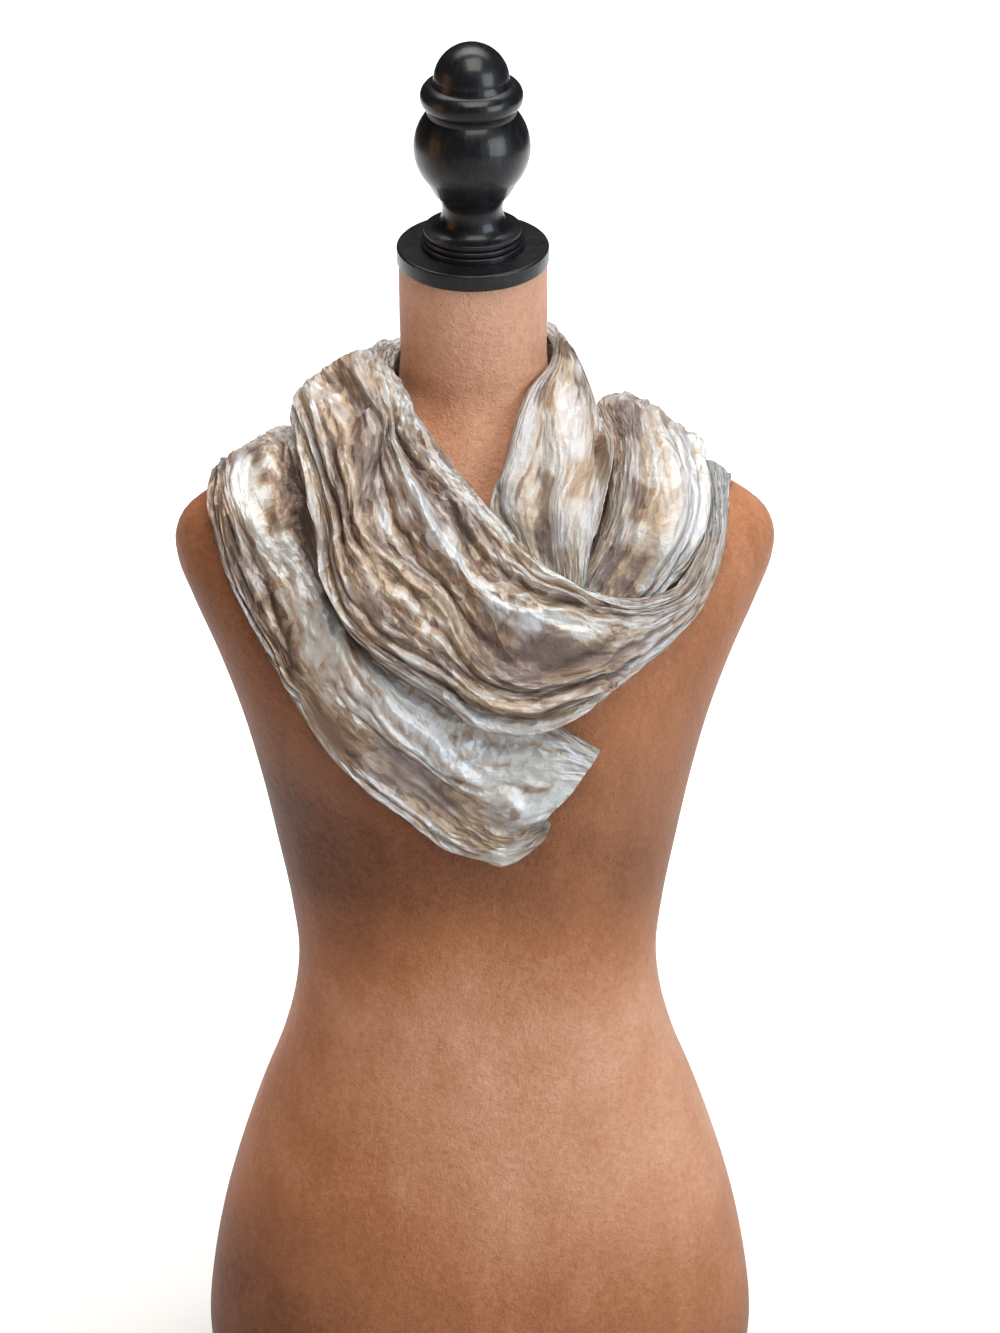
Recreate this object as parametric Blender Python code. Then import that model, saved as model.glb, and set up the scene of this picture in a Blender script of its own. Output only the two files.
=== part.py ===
"""Satin scarf wound twice round a limbless dress form.

Every table and named size is in millimetres, and the finished meshes are in metres.  +Z is up, the
front of the form faces -Y, and +X is on the right of someone who looks at the front.  The origin is
the middle of the flat base.  One long crinkled scarf makes the whole wrap.  Its free end hangs on the
chest, climbs over the shoulder at -X, crosses the upper back and falls over the shoulder at +X.  The
second turn starts as a narrow strip beside that fall, widens into the roll that sweeps up across the
chest, passes round the back of the neck and dips inside the front roll.  Each stretch of it is a
thin curved wall of its own, a hair's breadth from the next.
"""

import math

import bpy
import numpy as np

MM = 0.001

# Dress form
NECK_LEAN = math.radians(15)
NECK_BASE = 690
NECK_TOP = 808
FORM_SIDES = 44
FORM_RING_STEP = 30
SHOULDER_RING_STEP = 15
SHOULDER_FROM = 580
SHOULDER_TO = 720
BASE_EDGE = 4

# Turned wooden cap and finial
PLATE_RADIUS = 50.5
PLATE_THICKNESS = 11.5
PLATE_EDGE = 1.5
TURNED_SIDES = 36
JOINT_GAP = 0.3

# Cloth
CLOTH_WALL = 1.5
CLOTH_CLEARANCE = 0.9
LAYER_CLEARANCE = 1.6
SEAM_GAP = 0.45
ARCH_SQUARENESS = 2.4
SEGMENTS_PER_PLEAT = 3

# Rings of the form: half width, reach to the front and to the back of the plane y = 0,
# and squareness, the power of the superellipse, where 2 is an ellipse.
FORM_COLUMNS = ("height", "half_width", "front", "back", "squareness")
FORM_RINGS = (
    (0, 182, 105, 105, 2.35),
    (60, 190, 107, 118, 2.35),
    (100, 186, 107, 120, 2.3),
    (145, 177, 105, 115, 2.3),
    (190, 164, 101, 104, 2.25),
    (230, 150, 97, 95, 2.2),
    (270, 134, 94, 87, 2.2),
    (300, 126, 93, 83, 2.2),
    (330, 123, 93, 82, 2.2),
    (365, 127, 96, 85, 2.2),
    (410, 136, 102, 91, 2.2),
    (460, 147, 110, 98, 2.25),
    (500, 158, 113, 102, 2.3),
    (545, 175, 107, 104, 2.35),
    (580, 191, 94, 102, 2.4),
    (605, 201, 82, 98, 2.4),
    (622, 202, 74, 93, 2.35),
    (637, 194, 68, 88, 2.25),
    (650, 176, 62, 83, 2.2),
    (663, 151, 56, 78, 2.1),
    (677, 120, 51, 73, 2.05),
    (690, 89, 46, 68, 2.0),
    (702, 66, 41, 63, 2.0),
    (716, 53, 38, 59, 2.0),
    (735, 49.5, 42, 54, 2.0),
    (770, 49.3, 51.5, 44.5, 2.0),
    (808, 49.3, 62, 34.5, 2.0),
    (835, 49.3, 69, 27.5, 2.0),
)
BUST_SPREAD_X = 72
BUST_HEIGHT = 497
BUST_WIDTH = 46
BUST_DEPTH = 52
BUST_FORWARD = 16

# One row for each section of a stretch: the edge nearest the neck, the far edge,
# and how high the cloth arches above the straight line between them.
STRETCH_COLUMNS = ("inner_x", "inner_y", "inner_z", "outer_x", "outer_y", "outer_z", "crown")
LEFT_SHOULDER = (-106, 16, 688, -177, 22, 653, 6)
RIGHT_SHOULDER = (82, 17, 703, 150, 15, 672, 12)
LEFT_NECK = (-53, 10, 728, -119, 9, 694, 21)
RIGHT_NECK = (52, 24, 744, 68, 24, 734, 7)

TAIL_DRAPE = (
    (82, -127, 503, 42, -122, 442, 5),
    (60, -128, 518, 18, -118, 425, 8),
    (29, -121, 532, -14, -113, 430, 10),
    (0, -113, 547, -40, -113, 449, 11),
    (-29, -107, 563, -70, -117, 474, 12),
    (-52, -97, 584, -98, -107, 500, 12),
    (-69, -83, 608, -122, -89, 532, 12),
    (-82, -71, 632, -144, -73, 567, 11),
    (-92, -53, 659, -163, -58, 601, 10),
    (-99, -33, 677, -176, -31, 638, 9),
    (-104, -8, 686, -178, -2, 652, 7),
    LEFT_SHOULDER,
)
BACK_OUTER = (
    LEFT_SHOULDER,
    (-104, 46, 682, -174, 50, 643, 9),
    (-82, 64, 680, -146, 82, 616, 15),
    (-42, 75, 680, -86, 103, 586, 18),
    (0, 78, 680, -12, 110, 574, 20),
    (40, 75, 681, 56, 107, 584, 20),
    (78, 62, 684, 112, 95, 608, 20),
    (90, 43, 695, 142, 62, 645, 20),
    RIGHT_SHOULDER,
)
RIGHT_FALL = (
    RIGHT_SHOULDER,
    (88, -25, 690, 151, -22, 659, 15),
    (88, -48, 675, 150, -44, 644, 22),
    (86, -68, 652, 145, -62, 624, 22),
    (78, -80, 631, 132, -76, 604, 18),
    (67, -91, 609, 115, -88, 588, 12),
    (60, -99, 590, 97, -98, 572, 6),
)
FRONT_WRAP = (
    (128, 88, 612, 132, 87, 608, 1),
    (148, 70, 635, 159, 69, 630, 3),
    (158, 44, 654, 172, 41, 648, 4),
    (155, 14, 665, 171, 12, 652, 5),
    (157, -22, 654, 170, -16, 650, 5),
    (154, -49, 641, 166, -46, 631, 9),
    (149, -76, 628, 158, -64, 603, 6),
    (136, -98, 610, 148, -72, 588, 9),
    (113, -107, 602, 130, -85, 569, 11),
    (87, -112, 604, 105, -99, 553, 16),
    (63, -112, 611, 82, -113, 540, 22),
    (46, -105, 618, 70, -129, 529, 24),
    (33, -96, 630, 45, -136, 518, 25),
    (21, -85, 643, 13, -135, 518, 25),
    (-2, -67, 660, -19, -131, 535, 27),
    (-17, -57, 677, -52, -126, 555, 27),
    (-32, -43, 697, -80, -113, 578, 26),
    (-41, -29, 709, -97, -95, 609, 25),
    (-47, -18, 717, -103, -76, 643, 24),
    (-51, -6, 723, -112, -45, 677, 22),
    LEFT_NECK,
)
BACK_NECK = (
    LEFT_NECK,
    (-51, 26, 737, -108, 50, 692, 11),
    (-42, 38, 742, -84, 88, 686, 6),
    (-20, 51, 747, -45, 104, 677, 9),
    (6, 54, 753, 4, 108, 677, 14),
    (32, 46, 754, 48, 99, 690, 14),
    (46, 33, 752, 66, 60, 710, 12),
    RIGHT_NECK,
)
INNER_FALL = (
    RIGHT_NECK,
    (49, -4, 736, 74, 2, 728, 8),
    (34, -26, 721, 82, -18, 710, 10),
    (26, -43, 702, 85, -41, 691, 12),
    (19, -58, 677, 86, -66, 669, 10),
    (10, -70, 655, 83, -86, 654, 9),
    (20, -82, 633, 77, -100, 632, 6),
    (33, -91, 610, 73, -109, 610, 4),
    (42, -96, 590, 67, -114, 591, 3),
)

# The scarf's two turns round the neck, each a chain of stretches that share their end rows:
# name, rows, number of sections
FIRST_TURN = (
    ("scarf_tail_drape", TAIL_DRAPE, 19),
    ("scarf_back_outer", BACK_OUTER, 15),
    ("scarf_right_fall", RIGHT_FALL, 11),
)
SECOND_TURN = (
    ("scarf_front_wrap", FRONT_WRAP, 27),
    ("scarf_back_neck", BACK_NECK, 11),
    ("scarf_inner_fall", INNER_FALL, 11),
)
PLEATS = 8
PLEAT_HEIGHT = 6.5
PLEAT_ROUNDNESS = 0.8
NARROWEST_PLEAT = 3
FULL_PLEAT = 14

# Each pleat rises and falls along the scarf: the least share of its height, the length of the beat,
# and how far each pleat's beat is behind its neighbour's
LEAST_PLEAT = 0.3
PLEAT_BEAT = 375
PLEAT_STAGGER = 5.1

# How the pleats' lines sway: each wave's size as a share of the width, how often it repeats
# across the cloth, its length along it, and where it starts
SWAYS = ((0.030, 1.7, 290, 1.2), (0.018, 3.1, -170, 2.4))

# What each stretch lies on, the lowest stretch first.  The front wrap starts beside the right fall
# and comes to rest on it between two shares of its length.
LIES_ON = {
    "scarf_tail_drape": (),
    "scarf_back_outer": (),
    "scarf_right_fall": (),
    "scarf_back_neck": ("scarf_tail_drape", "scarf_back_outer"),
    "scarf_inner_fall": ("scarf_back_outer", "scarf_right_fall"),
    "scarf_front_wrap": ("scarf_tail_drape", "scarf_back_outer", "scarf_right_fall", "scarf_inner_fall"),
}
RESTS_FROM = {"scarf_front_wrap": (0.26, 0.36)}
SATIN_TINTS = {
    "scarf_tail_drape": (0.74, 0.68, 0.60),
    "scarf_back_outer": (0.72, 0.66, 0.58),
    "scarf_right_fall": (0.80, 0.77, 0.72),
    "scarf_back_neck": (0.70, 0.64, 0.57),
    "scarf_inner_fall": (0.78, 0.74, 0.70),
    "scarf_front_wrap": (0.76, 0.70, 0.62),
}

# Largest folds.  A fold runs from (start_along, start_across) to (end_along, end_across), each a
# share of the stretch's length or width.  A height below nothing makes a trough.  Folds fade over a
# share of their own length at both ends, and towards the cloth's two edges.
FOLD_COLUMNS = ("start_along", "start_across", "end_along", "end_across", "half_width", "height")
FOLD_FADE = 0.15
FOLD_RIM = (0.05, 0.6)
FOLDS = {
    "scarf_tail_drape": (
        (0.05, 0.80, 0.50, 0.72, 16, 8),
        (0.10, 0.30, 0.62, 0.35, 12, 7),
        (0.20, 0.52, 0.60, 0.55, 9, -6),
        (0.45, 0.12, 1.00, 0.20, 8, 5),
        (0.55, 0.62, 1.00, 0.55, 10, 6),
    ),
    "scarf_back_outer": (
        (0.00, 0.45, 1.00, 0.40, 14, 7),
        (0.10, 0.75, 0.85, 0.72, 12, 6),
        (0.20, 0.60, 0.90, 0.58, 7, -5),
    ),
    "scarf_right_fall": (
        (0.00, 0.25, 1.00, 0.30, 9, 5),
        (0.00, 0.68, 0.90, 0.70, 10, 5),
    ),
    "scarf_front_wrap": (
        (0.44, 0.16, 0.78, 0.20, 9, 7),
        (0.40, 0.42, 0.70, 0.50, 16, -8),
        (0.72, 0.14, 0.94, 0.10, 6, -10),
        (0.85, 0.48, 1.00, 0.52, 8, -12),
        (0.74, 0.30, 1.00, 0.30, 12, 7),
        (0.45, 0.80, 0.97, 0.78, 10, 7),
    ),
    "scarf_back_neck": (
        (0.00, 0.30, 0.80, 0.40, 12, 6),
        (0.00, 0.75, 0.70, 0.72, 12, 5),
    ),
    "scarf_inner_fall": (
        (0.10, 0.36, 0.90, 0.38, 7, -8),
        (0.45, 0.14, 0.80, 0.22, 5, -6),
    ),
}

# Directions in which a layer's height over the form is kept, seen from a point inside the chest
LAYER_CORE = (0, 20, 480)
LAYER_CELL = math.radians(1.5)


def table(columns, rows):
    """The rows as one array for each named column."""
    return dict(zip(columns, np.array(rows, dtype=float).T))


def smooth(at, knots, values):
    """Cubic curve through (knots, values), whose slope at a knot is the weighted mean of its sides."""
    steps = np.diff(knots)
    rates = np.diff(values) / steps
    slopes = np.empty(len(knots))
    slopes[0] = rates[0]
    slopes[-1] = rates[-1]
    slopes[1:-1] = (rates[:-1] * steps[1:] + rates[1:] * steps[:-1]) / (steps[:-1] + steps[1:])
    left = np.clip(np.searchsorted(knots, at, side="right") - 1, 0, len(knots) - 2)
    step = steps[left]
    t = np.clip((at - knots[left]) / step, 0, 1)
    start = (1 + 2 * t) * (1 - t) ** 2 * values[left] + t * (1 - t) ** 2 * step * slopes[left]
    end = t * t * (3 - 2 * t) * values[left + 1] - t * t * (1 - t) * step * slopes[left + 1]
    return start + end


def even_steps(start, end, step):
    """Values from start to end, both kept, as near to one step apart as fits."""
    return np.linspace(start, end, round((end - start) / step) + 1)


def smooth_step(value, low, high):
    """0 below low, 1 above high, and an S between them."""
    t = np.clip((value - low) / (high - low), 0, 1)
    return t * t * (3 - 2 * t)


def unit(vectors):
    return vectors / np.maximum(np.linalg.norm(vectors, axis=-1, keepdims=True), 1e-9)


# --- Dress form -----------------------------------------------------------------------------------

FORM = table(FORM_COLUMNS, FORM_RINGS)


def form_section(height):
    """(half width, middle in y, half depth, squareness) of the form at each height."""
    half_width, front, back, squareness = (
        smooth(height, FORM["height"], FORM[name]) for name in FORM_COLUMNS[1:]
    )
    return half_width, (back - front) / 2, (back + front) / 2, squareness


def bust_reach(x, z):
    """How far the chest stands forward of the plain ring: two soft bell-shaped mounds."""
    up = ((z - BUST_HEIGHT) / BUST_DEPTH) ** 2
    mounds = (np.exp(-(((x - side * BUST_SPREAD_X) / BUST_WIDTH) ** 2) - up) for side in (-1, 1))
    return BUST_FORWARD * sum(mounds)


def form_level(points):
    """1 on the form's surface, less inside it and more outside."""
    x, y, z = np.moveaxis(points, -1, 0)
    half_width, middle, half_depth, squareness = form_section(z)
    y = y - middle
    y = np.where(y < 0, np.minimum(y + bust_reach(x, z), 0), y)
    total = np.abs(x / half_width) ** squareness + np.abs(y / half_depth) ** squareness
    return total ** (1 / squareness)


def height_over_form(points):
    """(distance from the form's surface, direction away from it) at each point."""
    half_step = 0.5
    shifts = np.eye(3) * half_step
    rises = [form_level(points + shift) - form_level(points - shift) for shift in shifts]
    slope = np.stack(rises, axis=-1) / (2 * half_step)
    steepness = np.maximum(np.linalg.norm(slope, axis=-1), 1e-6)
    return (form_level(points) - 1) / steepness, slope / steepness[..., None]


def form_points(turn, height):
    """Points of the form's skin at an angle and a height; the neck's rings lean with its axis."""
    half_width, middle, half_depth, squareness = form_section(height)
    lean = math.tan(NECK_LEAN) * smooth_step(height, NECK_BASE, NECK_TOP)
    cosine = np.sign(np.cos(turn)) * np.abs(np.cos(turn)) ** (2 / squareness)
    sine = np.sign(np.sin(turn)) * np.abs(np.sin(turn)) ** (2 / squareness)
    z = height + lean * half_depth * sine
    for _ in range(3):
        half_width, lifted_middle, half_depth, _ = form_section(z)
        y = lifted_middle + half_depth * sine
        z = height + lean * (y - middle)
    x = half_width * cosine
    y = y - np.where(sine < 0, np.minimum(bust_reach(x, z), -half_depth * sine), 0)
    return np.stack([x, y, z], axis=-1)


def make_form():
    """The torso: rings from the flat base to the leaning neck top, closed by two flat faces."""
    heights = np.concatenate(
        [
            even_steps(BASE_EDGE, SHOULDER_FROM, FORM_RING_STEP)[:-1],
            even_steps(SHOULDER_FROM, SHOULDER_TO, SHOULDER_RING_STEP),
            even_steps(SHOULDER_TO, NECK_TOP, FORM_RING_STEP)[1:],
        ]
    )
    turn = np.arange(FORM_SIDES) * 2 * math.pi / FORM_SIDES
    rings = [form_points(turn, np.full(FORM_SIDES, height)) for height in heights]
    lowest = rings[0]
    inwards = -unit(lowest - lowest.mean(axis=0))
    for turned in np.radians((30, 90)):
        ring = lowest + inwards * BASE_EDGE * (1 - math.cos(turned))
        ring[:, 2] = BASE_EDGE * (1 - math.sin(turned))
        rings.insert(0, ring)
    return tube_mesh(np.array(rings))


# --- Turned cap and finial ------------------------------------------------------------------------


def arc(middle_radius, middle_height, radius, half_height, start, end, steps):
    """Points of an elliptical arc of a turned profile, from one angle to another in degrees."""
    angles = np.radians(np.linspace(start, end, steps + 1))
    radii = middle_radius + radius * np.cos(angles)
    heights = middle_height + half_height * np.sin(angles)
    return list(zip(radii.tolist(), heights.tolist()))


def plate_profile():
    """A flat disc with softened edges, from the middle of its top to the middle of its foot."""
    edge = PLATE_EDGE
    side = PLATE_RADIUS - edge
    return (
        [(0, PLATE_THICKNESS)]
        + arc(side, PLATE_THICKNESS - edge, edge, edge, 90, 0, 3)
        + arc(side, edge, edge, edge, 0, -90, 3)
        + [(0, 0)]
    )


def finial_profile():
    """Dome, ring, ball, waist, flared foot and three thin steps, from the top down."""
    return (
        arc(0, 116, 25, 25.5, 90, 4, 7)
        + arc(24.6, 105.5, 9.2, 9.4, 78, -52, 7)
        + arc(0, 70, 38.4, 37, 40, -38, 8)
        + arc(30.8, 26, 10.8, 14, 122, 252, 7)
        + [(32.2, 12.0), (32.4, 8.4), (30.8, 8.0), (33.4, 7.6), (33.4, 4.4), (31.6, 4.0), (34.4, 3.6)]
        + [(34.4, 0), (0, 0)]
    )


def make_turned(name, profile, material, parent, height):
    """A profile of (radius, height) points turned about its axis with a Screw modifier."""
    points = [(radius * MM, 0, z * MM) for radius, z in profile]
    mesh = bpy.data.meshes.new(name)
    mesh.from_pydata(points, [(i, i + 1) for i in range(len(points) - 1)], [])
    part = add_object(name, mesh, material)
    turned = part.modifiers.new("turned", "SCREW")
    turned.steps = TURNED_SIDES
    turned.render_steps = TURNED_SIDES
    turned.use_merge_vertices = True
    turned.merge_threshold = 0.00001
    part.parent = parent
    part.location = (0, 0, height * MM)
    return part


# --- Cloth ----------------------------------------------------------------------------------------


def bearing(points):
    """Cell numbers (round, up) of the direction in which each point is seen from the core."""
    x, y, z = np.moveaxis(points - np.array(LAYER_CORE), -1, 0)
    around = np.floor((np.arctan2(y, x) + math.pi) / LAYER_CELL).astype(int)
    up = np.floor((np.arctan2(z, np.hypot(x, y)) + math.pi / 2) / LAYER_CELL).astype(int)
    return around, up


def new_pile():
    """Heights over the form, one for each direction, of what lies on it: nothing yet."""
    return np.zeros((round(2 * math.pi / LAYER_CELL) + 1, round(math.pi / LAYER_CELL) + 1))


def add_layer(pile, grid):
    """Raises the pile to the height of this grid of points wherever it reaches."""
    shares = np.linspace(0, 1, 5, endpoint=False)
    for down in shares:
        row = grid[:-1] * (1 - down) + grid[1:] * down
        for right in shares:
            points = row[:, :-1] * (1 - right) + row[:, 1:] * right
            np.maximum.at(pile, bearing(points), height_over_form(points)[0])


def soften(pile, reach=2):
    """The pile widened by some cells and then blurred, so that what lies on it bends gently."""
    for axis in (0, 1) * reach:
        pile = np.maximum(pile, np.maximum(np.roll(pile, 1, axis), np.roll(pile, -1, axis)))
    for axis in (0, 1) * reach:
        pile = (2 * pile + np.roll(pile, 1, axis) + np.roll(pile, -1, axis)) / 4
    return pile


def lift_clear(points, pile, rests, rounds=3):
    """Moves points away from the form until their inner side clears it, and the layers under them.

    rests is the share of the layers' height that counts at each row of the grid.
    """
    for _ in range(rounds):
        height, away = height_over_form(points)
        below = pile[bearing(points)]
        below = (below + LAYER_CLEARANCE * smooth_step(below, 0, 2)) * rests
        lack = np.maximum(CLOTH_WALL + CLOTH_CLEARANCE + below - height, 0)
        points = points + away * lack[..., None]
    return points


def fold_height(along, across, width, folds):
    """Sum of the folds: each a bell across its line, fading at both of its ends."""
    total = np.zeros(np.broadcast(along, across).shape)
    for row in folds:
        fold = dict(zip(FOLD_COLUMNS, row))
        share = (along - fold["start_along"]) / (fold["end_along"] - fold["start_along"])
        line = fold["start_across"] + (fold["end_across"] - fold["start_across"]) * np.clip(share, 0, 1)
        fade = smooth_step(share, 0, FOLD_FADE) * (1 - smooth_step(share, 1 - FOLD_FADE, 1))
        off_line = (across - line) * width / fold["half_width"]
        total += fold["height"] * fade * np.exp(-(off_line**2))
    return total


def turn_rows(turn):
    """Rows of a whole turn, each shared end row once, and the row number where each stretch starts."""
    rows = [turn[0][1][0]]
    starts = [0]
    for _, stretch, _ in turn:
        rows += stretch[1:]
        starts.append(len(rows) - 1)
    return table(STRETCH_COLUMNS, rows), starts


def edge_lines(row, at, knots):
    """The two edges and the crown along the turn, each a smooth curve through its rows."""
    column = {name: smooth(at, knots, values) for name, values in row.items()}
    inner = np.stack([column["inner_x"], column["inner_y"], column["inner_z"]], axis=-1)
    outer = np.stack([column["outer_x"], column["outer_y"], column["outer_z"]], axis=-1)
    return inner, outer, column["crown"]


def turn_faces(turn):
    """Outer face of one whole turn, the way out of it, and the rows of the grid where stretches meet.

    Across it, a squared half ellipse stands on the line between the two edges.  Pleats are a row of
    round crests with sharp valleys between them, and their lines wander along the scarf.
    """
    row, starts = turn_rows(turn)
    numbers = np.arange(starts[-1] + 1.0)
    inner, outer, _ = edge_lines(row, numbers, numbers)
    steps = np.linalg.norm(np.diff((inner + outer) / 2, axis=0), axis=1)
    knots = np.concatenate([[0], np.cumsum(steps)])
    cuts = np.cumsum([0] + [sections for _, _, sections in turn])
    at = np.interp(np.arange(cuts[-1] + 1), cuts, knots[starts])
    inner, outer, crown = edge_lines(row, at, knots)

    even = np.linspace(0, 1, PLEATS * SEGMENTS_PER_PLEAT + 1)[None, :]
    rim = np.sin(math.pi * even)
    travel = at[:, None]
    across = even + rim * sum(
        size * np.sin(2 * math.pi * (repeats * even + travel / length) + start)
        for size, repeats, length, start in SWAYS
    )

    turned = math.pi * across
    reach = (1 - np.sign(np.cos(turned)) * np.abs(np.cos(turned)) ** (2 / ARCH_SQUARENESS)) / 2
    rise = np.abs(np.sin(turned)) ** (2 / ARCH_SQUARENESS)
    chord = outer - inner
    up = unit(np.cross(np.gradient(inner + outer, axis=0), chord))
    _, away = height_over_form(inner + chord / 2 + up * crown[:, None])
    up *= np.sign((up * away).sum(axis=-1, keepdims=True))
    points = inner[:, None] + chord[:, None] * reach[..., None]
    points += up[:, None] * (crown[:, None] * rise)[..., None]

    width = np.linalg.norm(np.diff(points, axis=1), axis=-1).sum(axis=1)[:, None]
    crest = np.abs(np.sin(math.pi * PLEATS * even)) ** PLEAT_ROUNDNESS
    beat = np.sin(PLEAT_STAGGER * np.floor(even * PLEATS) + 2 * math.pi * travel / PLEAT_BEAT)
    depth = LEAST_PLEAT + (1 - LEAST_PLEAT) * (1 + beat) / 2
    raised = PLEAT_HEIGHT * crest * depth * smooth_step(width / PLEATS, NARROWEST_PLEAT, FULL_PLEAT)
    for (name, _, _), first, last in zip(turn, cuts, cuts[1:]):
        part = slice(first, last + 1)
        along = np.linspace(0, 1, last - first + 1)[:, None]
        folded = fold_height(along, across[part], width[part], FOLDS[name])
        raised[part] += folded * smooth_step(rim, *FOLD_RIM)
    away = away[:, None]
    return points + face_directions(points, away) * raised[..., None], away, cuts


def face_directions(points, away):
    """Unit direction square to the surface at each grid point, on the side that away names."""
    direction = unit(np.cross(np.gradient(points, axis=0), np.gradient(points, axis=1)))
    return direction * np.sign((direction * away).sum(axis=-1).mean())


def cloth_wall(outer_face, inner_face):
    """Closed wall between two faces: the outer face, the inner one and the four edges between them.

    Each end is made of triangles that slant the same way, so that the ends of two stretches that
    meet are the same shape.
    """
    rows, columns = outer_face.shape[:2]
    outer = np.arange(rows * columns).reshape(rows, columns)
    inner = outer + rows * columns
    faces = strip(outer).tolist() + strip(inner)[:, ::-1].tolist()
    faces += strip(np.stack([inner[:, 0], outer[:, 0]], axis=1)).tolist()
    faces += strip(np.stack([outer[:, -1], inner[:, -1]], axis=1)).tolist()
    for row, turned in ((0, 1), (-1, -1)):
        near, far = outer[row], inner[row]
        corners = (near[:-1], near[1:], far[:-1]), (near[1:], far[1:], far[:-1])
        for triangle in corners:
            faces += np.stack(triangle[::turned], axis=-1).tolist()
    return np.concatenate([outer_face.reshape(-1, 3), inner_face.reshape(-1, 3)]), faces


def draw_back(grid):
    """The grid with both end sections drawn back a little, so that stretches meet without touching."""
    grid = grid.copy()
    grid[0] += unit(grid[1] - grid[0]) * SEAM_GAP / 2
    grid[-1] += unit(grid[-2] - grid[-1]) * SEAM_GAP / 2
    return grid


# --- Meshes, materials and objects ----------------------------------------------------------------


def strip(number):
    """Four-sided faces between the rows and columns of a grid of point numbers."""
    corners = number[:-1, :-1], number[1:, :-1], number[1:, 1:], number[:-1, 1:]
    return np.stack([corner.ravel() for corner in corners], axis=-1)


def tube_mesh(rings):
    """Points and faces of a tube of rings, closed round and capped flat at both ends."""
    number = np.arange(rings.shape[0] * rings.shape[1]).reshape(rings.shape[:2])
    closed = np.concatenate([number, number[:, :1]], axis=1)
    faces = strip(closed)[:, ::-1].tolist() + [number[0, ::-1].tolist(), number[-1].tolist()]
    return rings.reshape(-1, 3), faces


def make_material(name, colour, roughness, metallic=0.0):
    material = bpy.data.materials.new(name)
    material.use_nodes = True
    shader = material.node_tree.nodes["Principled BSDF"]
    shader.inputs["Base Color"].default_value = (*colour, 1)
    shader.inputs["Roughness"].default_value = roughness
    shader.inputs["Metallic"].default_value = metallic
    return material


def add_object(name, mesh, material):
    mesh.materials.append(material)
    part = bpy.data.objects.new(name, mesh)
    bpy.context.scene.collection.objects.link(part)
    return part


def add_shape(name, points, faces, material):
    """A mesh object from points in millimetres and faces, facing outwards and shaded smooth."""
    mesh = bpy.data.meshes.new(name)
    mesh.from_pydata((points * MM).tolist(), [], faces)
    mesh.shade_smooth()
    mesh.set_sharp_from_angle(angle=math.radians(50))
    return add_object(name, mesh, material)


def make_neck_cap():
    """The wooden plate and finial, on an empty that leans with the neck."""
    wood = make_material("black_turned_wood", (0.012, 0.012, 0.014), 0.35)
    _, middle, _, _ = form_section(np.array(float(NECK_TOP)))
    seat = bpy.data.objects.new("neck_top", None)
    bpy.context.scene.collection.objects.link(seat)
    seat.location = (0, float(middle) * MM, NECK_TOP * MM)
    seat.rotation_euler = (NECK_LEAN, 0, 0)
    make_turned("neck_plate", plate_profile(), wood, seat, JOINT_GAP)
    make_turned("finial", finial_profile(), wood, seat, PLATE_THICKNESS + 2 * JOINT_GAP)


def make_scarf():
    """All the stretches: shaped turn by turn, laid on each other, then given their wall."""
    turns = {turn: turn_faces(turn) for turn in (FIRST_TURN, SECOND_TURN)}
    places = {}
    for turn, (grid, _, cuts) in turns.items():
        for (name, _, _), first, last in zip(turn, cuts, cuts[1:]):
            places[name] = grid, slice(first, last + 1)
    for name, layers in LIES_ON.items():
        pile = new_pile()
        for layer in layers:
            grid, part = places[layer]
            add_layer(pile, grid[part])
        grid, part = places[name]
        along = np.linspace(0, 1, part.stop - part.start)[:, None]
        rests = smooth_step(along, *RESTS_FROM.get(name, (-1, 0)))
        grid[part] = lift_clear(grid[part], soften(pile), rests)
    for turn, (grid, away, _) in turns.items():
        under_side = grid - face_directions(grid, away) * CLOTH_WALL
        for name, _, _ in turn:
            part = places[name][1]
            satin = make_material(name + "_satin", SATIN_TINTS[name], 0.38, 0.3)
            add_shape(name, *cloth_wall(draw_back(grid[part]), draw_back(under_side[part])), satin)


def main():
    for old in list(bpy.data.objects):
        bpy.data.objects.remove(old)
    suede = make_material("brown_suede", (0.36, 0.17, 0.10), 0.85)
    add_shape("dress_form", *make_form(), suede)
    make_neck_cap()
    make_scarf()


main()
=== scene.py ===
"""Satin scarf wound twice round a limbless dress form, in its finishes.

Tables and named sizes are in millimetres, and the finished meshes are in metres.  Every piece is a
surface worked out on a grid of two parameters.  The scarf is one ribbon of cloth in two turns, cut
into six stretches.  "along" is a share of a stretch's length, "across" a share of its width from
the edge nearest the neck, and "travel" the distance along a whole turn.
"""

import math

import bpy
import numpy as np
from mathutils import Matrix


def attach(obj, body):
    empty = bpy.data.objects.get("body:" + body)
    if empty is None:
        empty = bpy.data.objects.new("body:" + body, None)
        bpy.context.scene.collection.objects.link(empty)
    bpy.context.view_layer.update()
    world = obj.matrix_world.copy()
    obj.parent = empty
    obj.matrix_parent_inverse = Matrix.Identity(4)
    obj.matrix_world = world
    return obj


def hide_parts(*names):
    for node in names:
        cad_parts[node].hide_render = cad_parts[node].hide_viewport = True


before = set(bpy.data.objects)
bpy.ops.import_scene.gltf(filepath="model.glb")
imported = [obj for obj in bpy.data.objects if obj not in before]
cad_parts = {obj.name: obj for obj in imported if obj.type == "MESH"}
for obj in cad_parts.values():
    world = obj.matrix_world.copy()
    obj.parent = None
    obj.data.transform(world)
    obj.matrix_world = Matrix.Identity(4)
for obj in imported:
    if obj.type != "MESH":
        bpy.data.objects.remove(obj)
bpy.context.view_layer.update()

MM = 0.001

# --- Sizes ---

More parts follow.
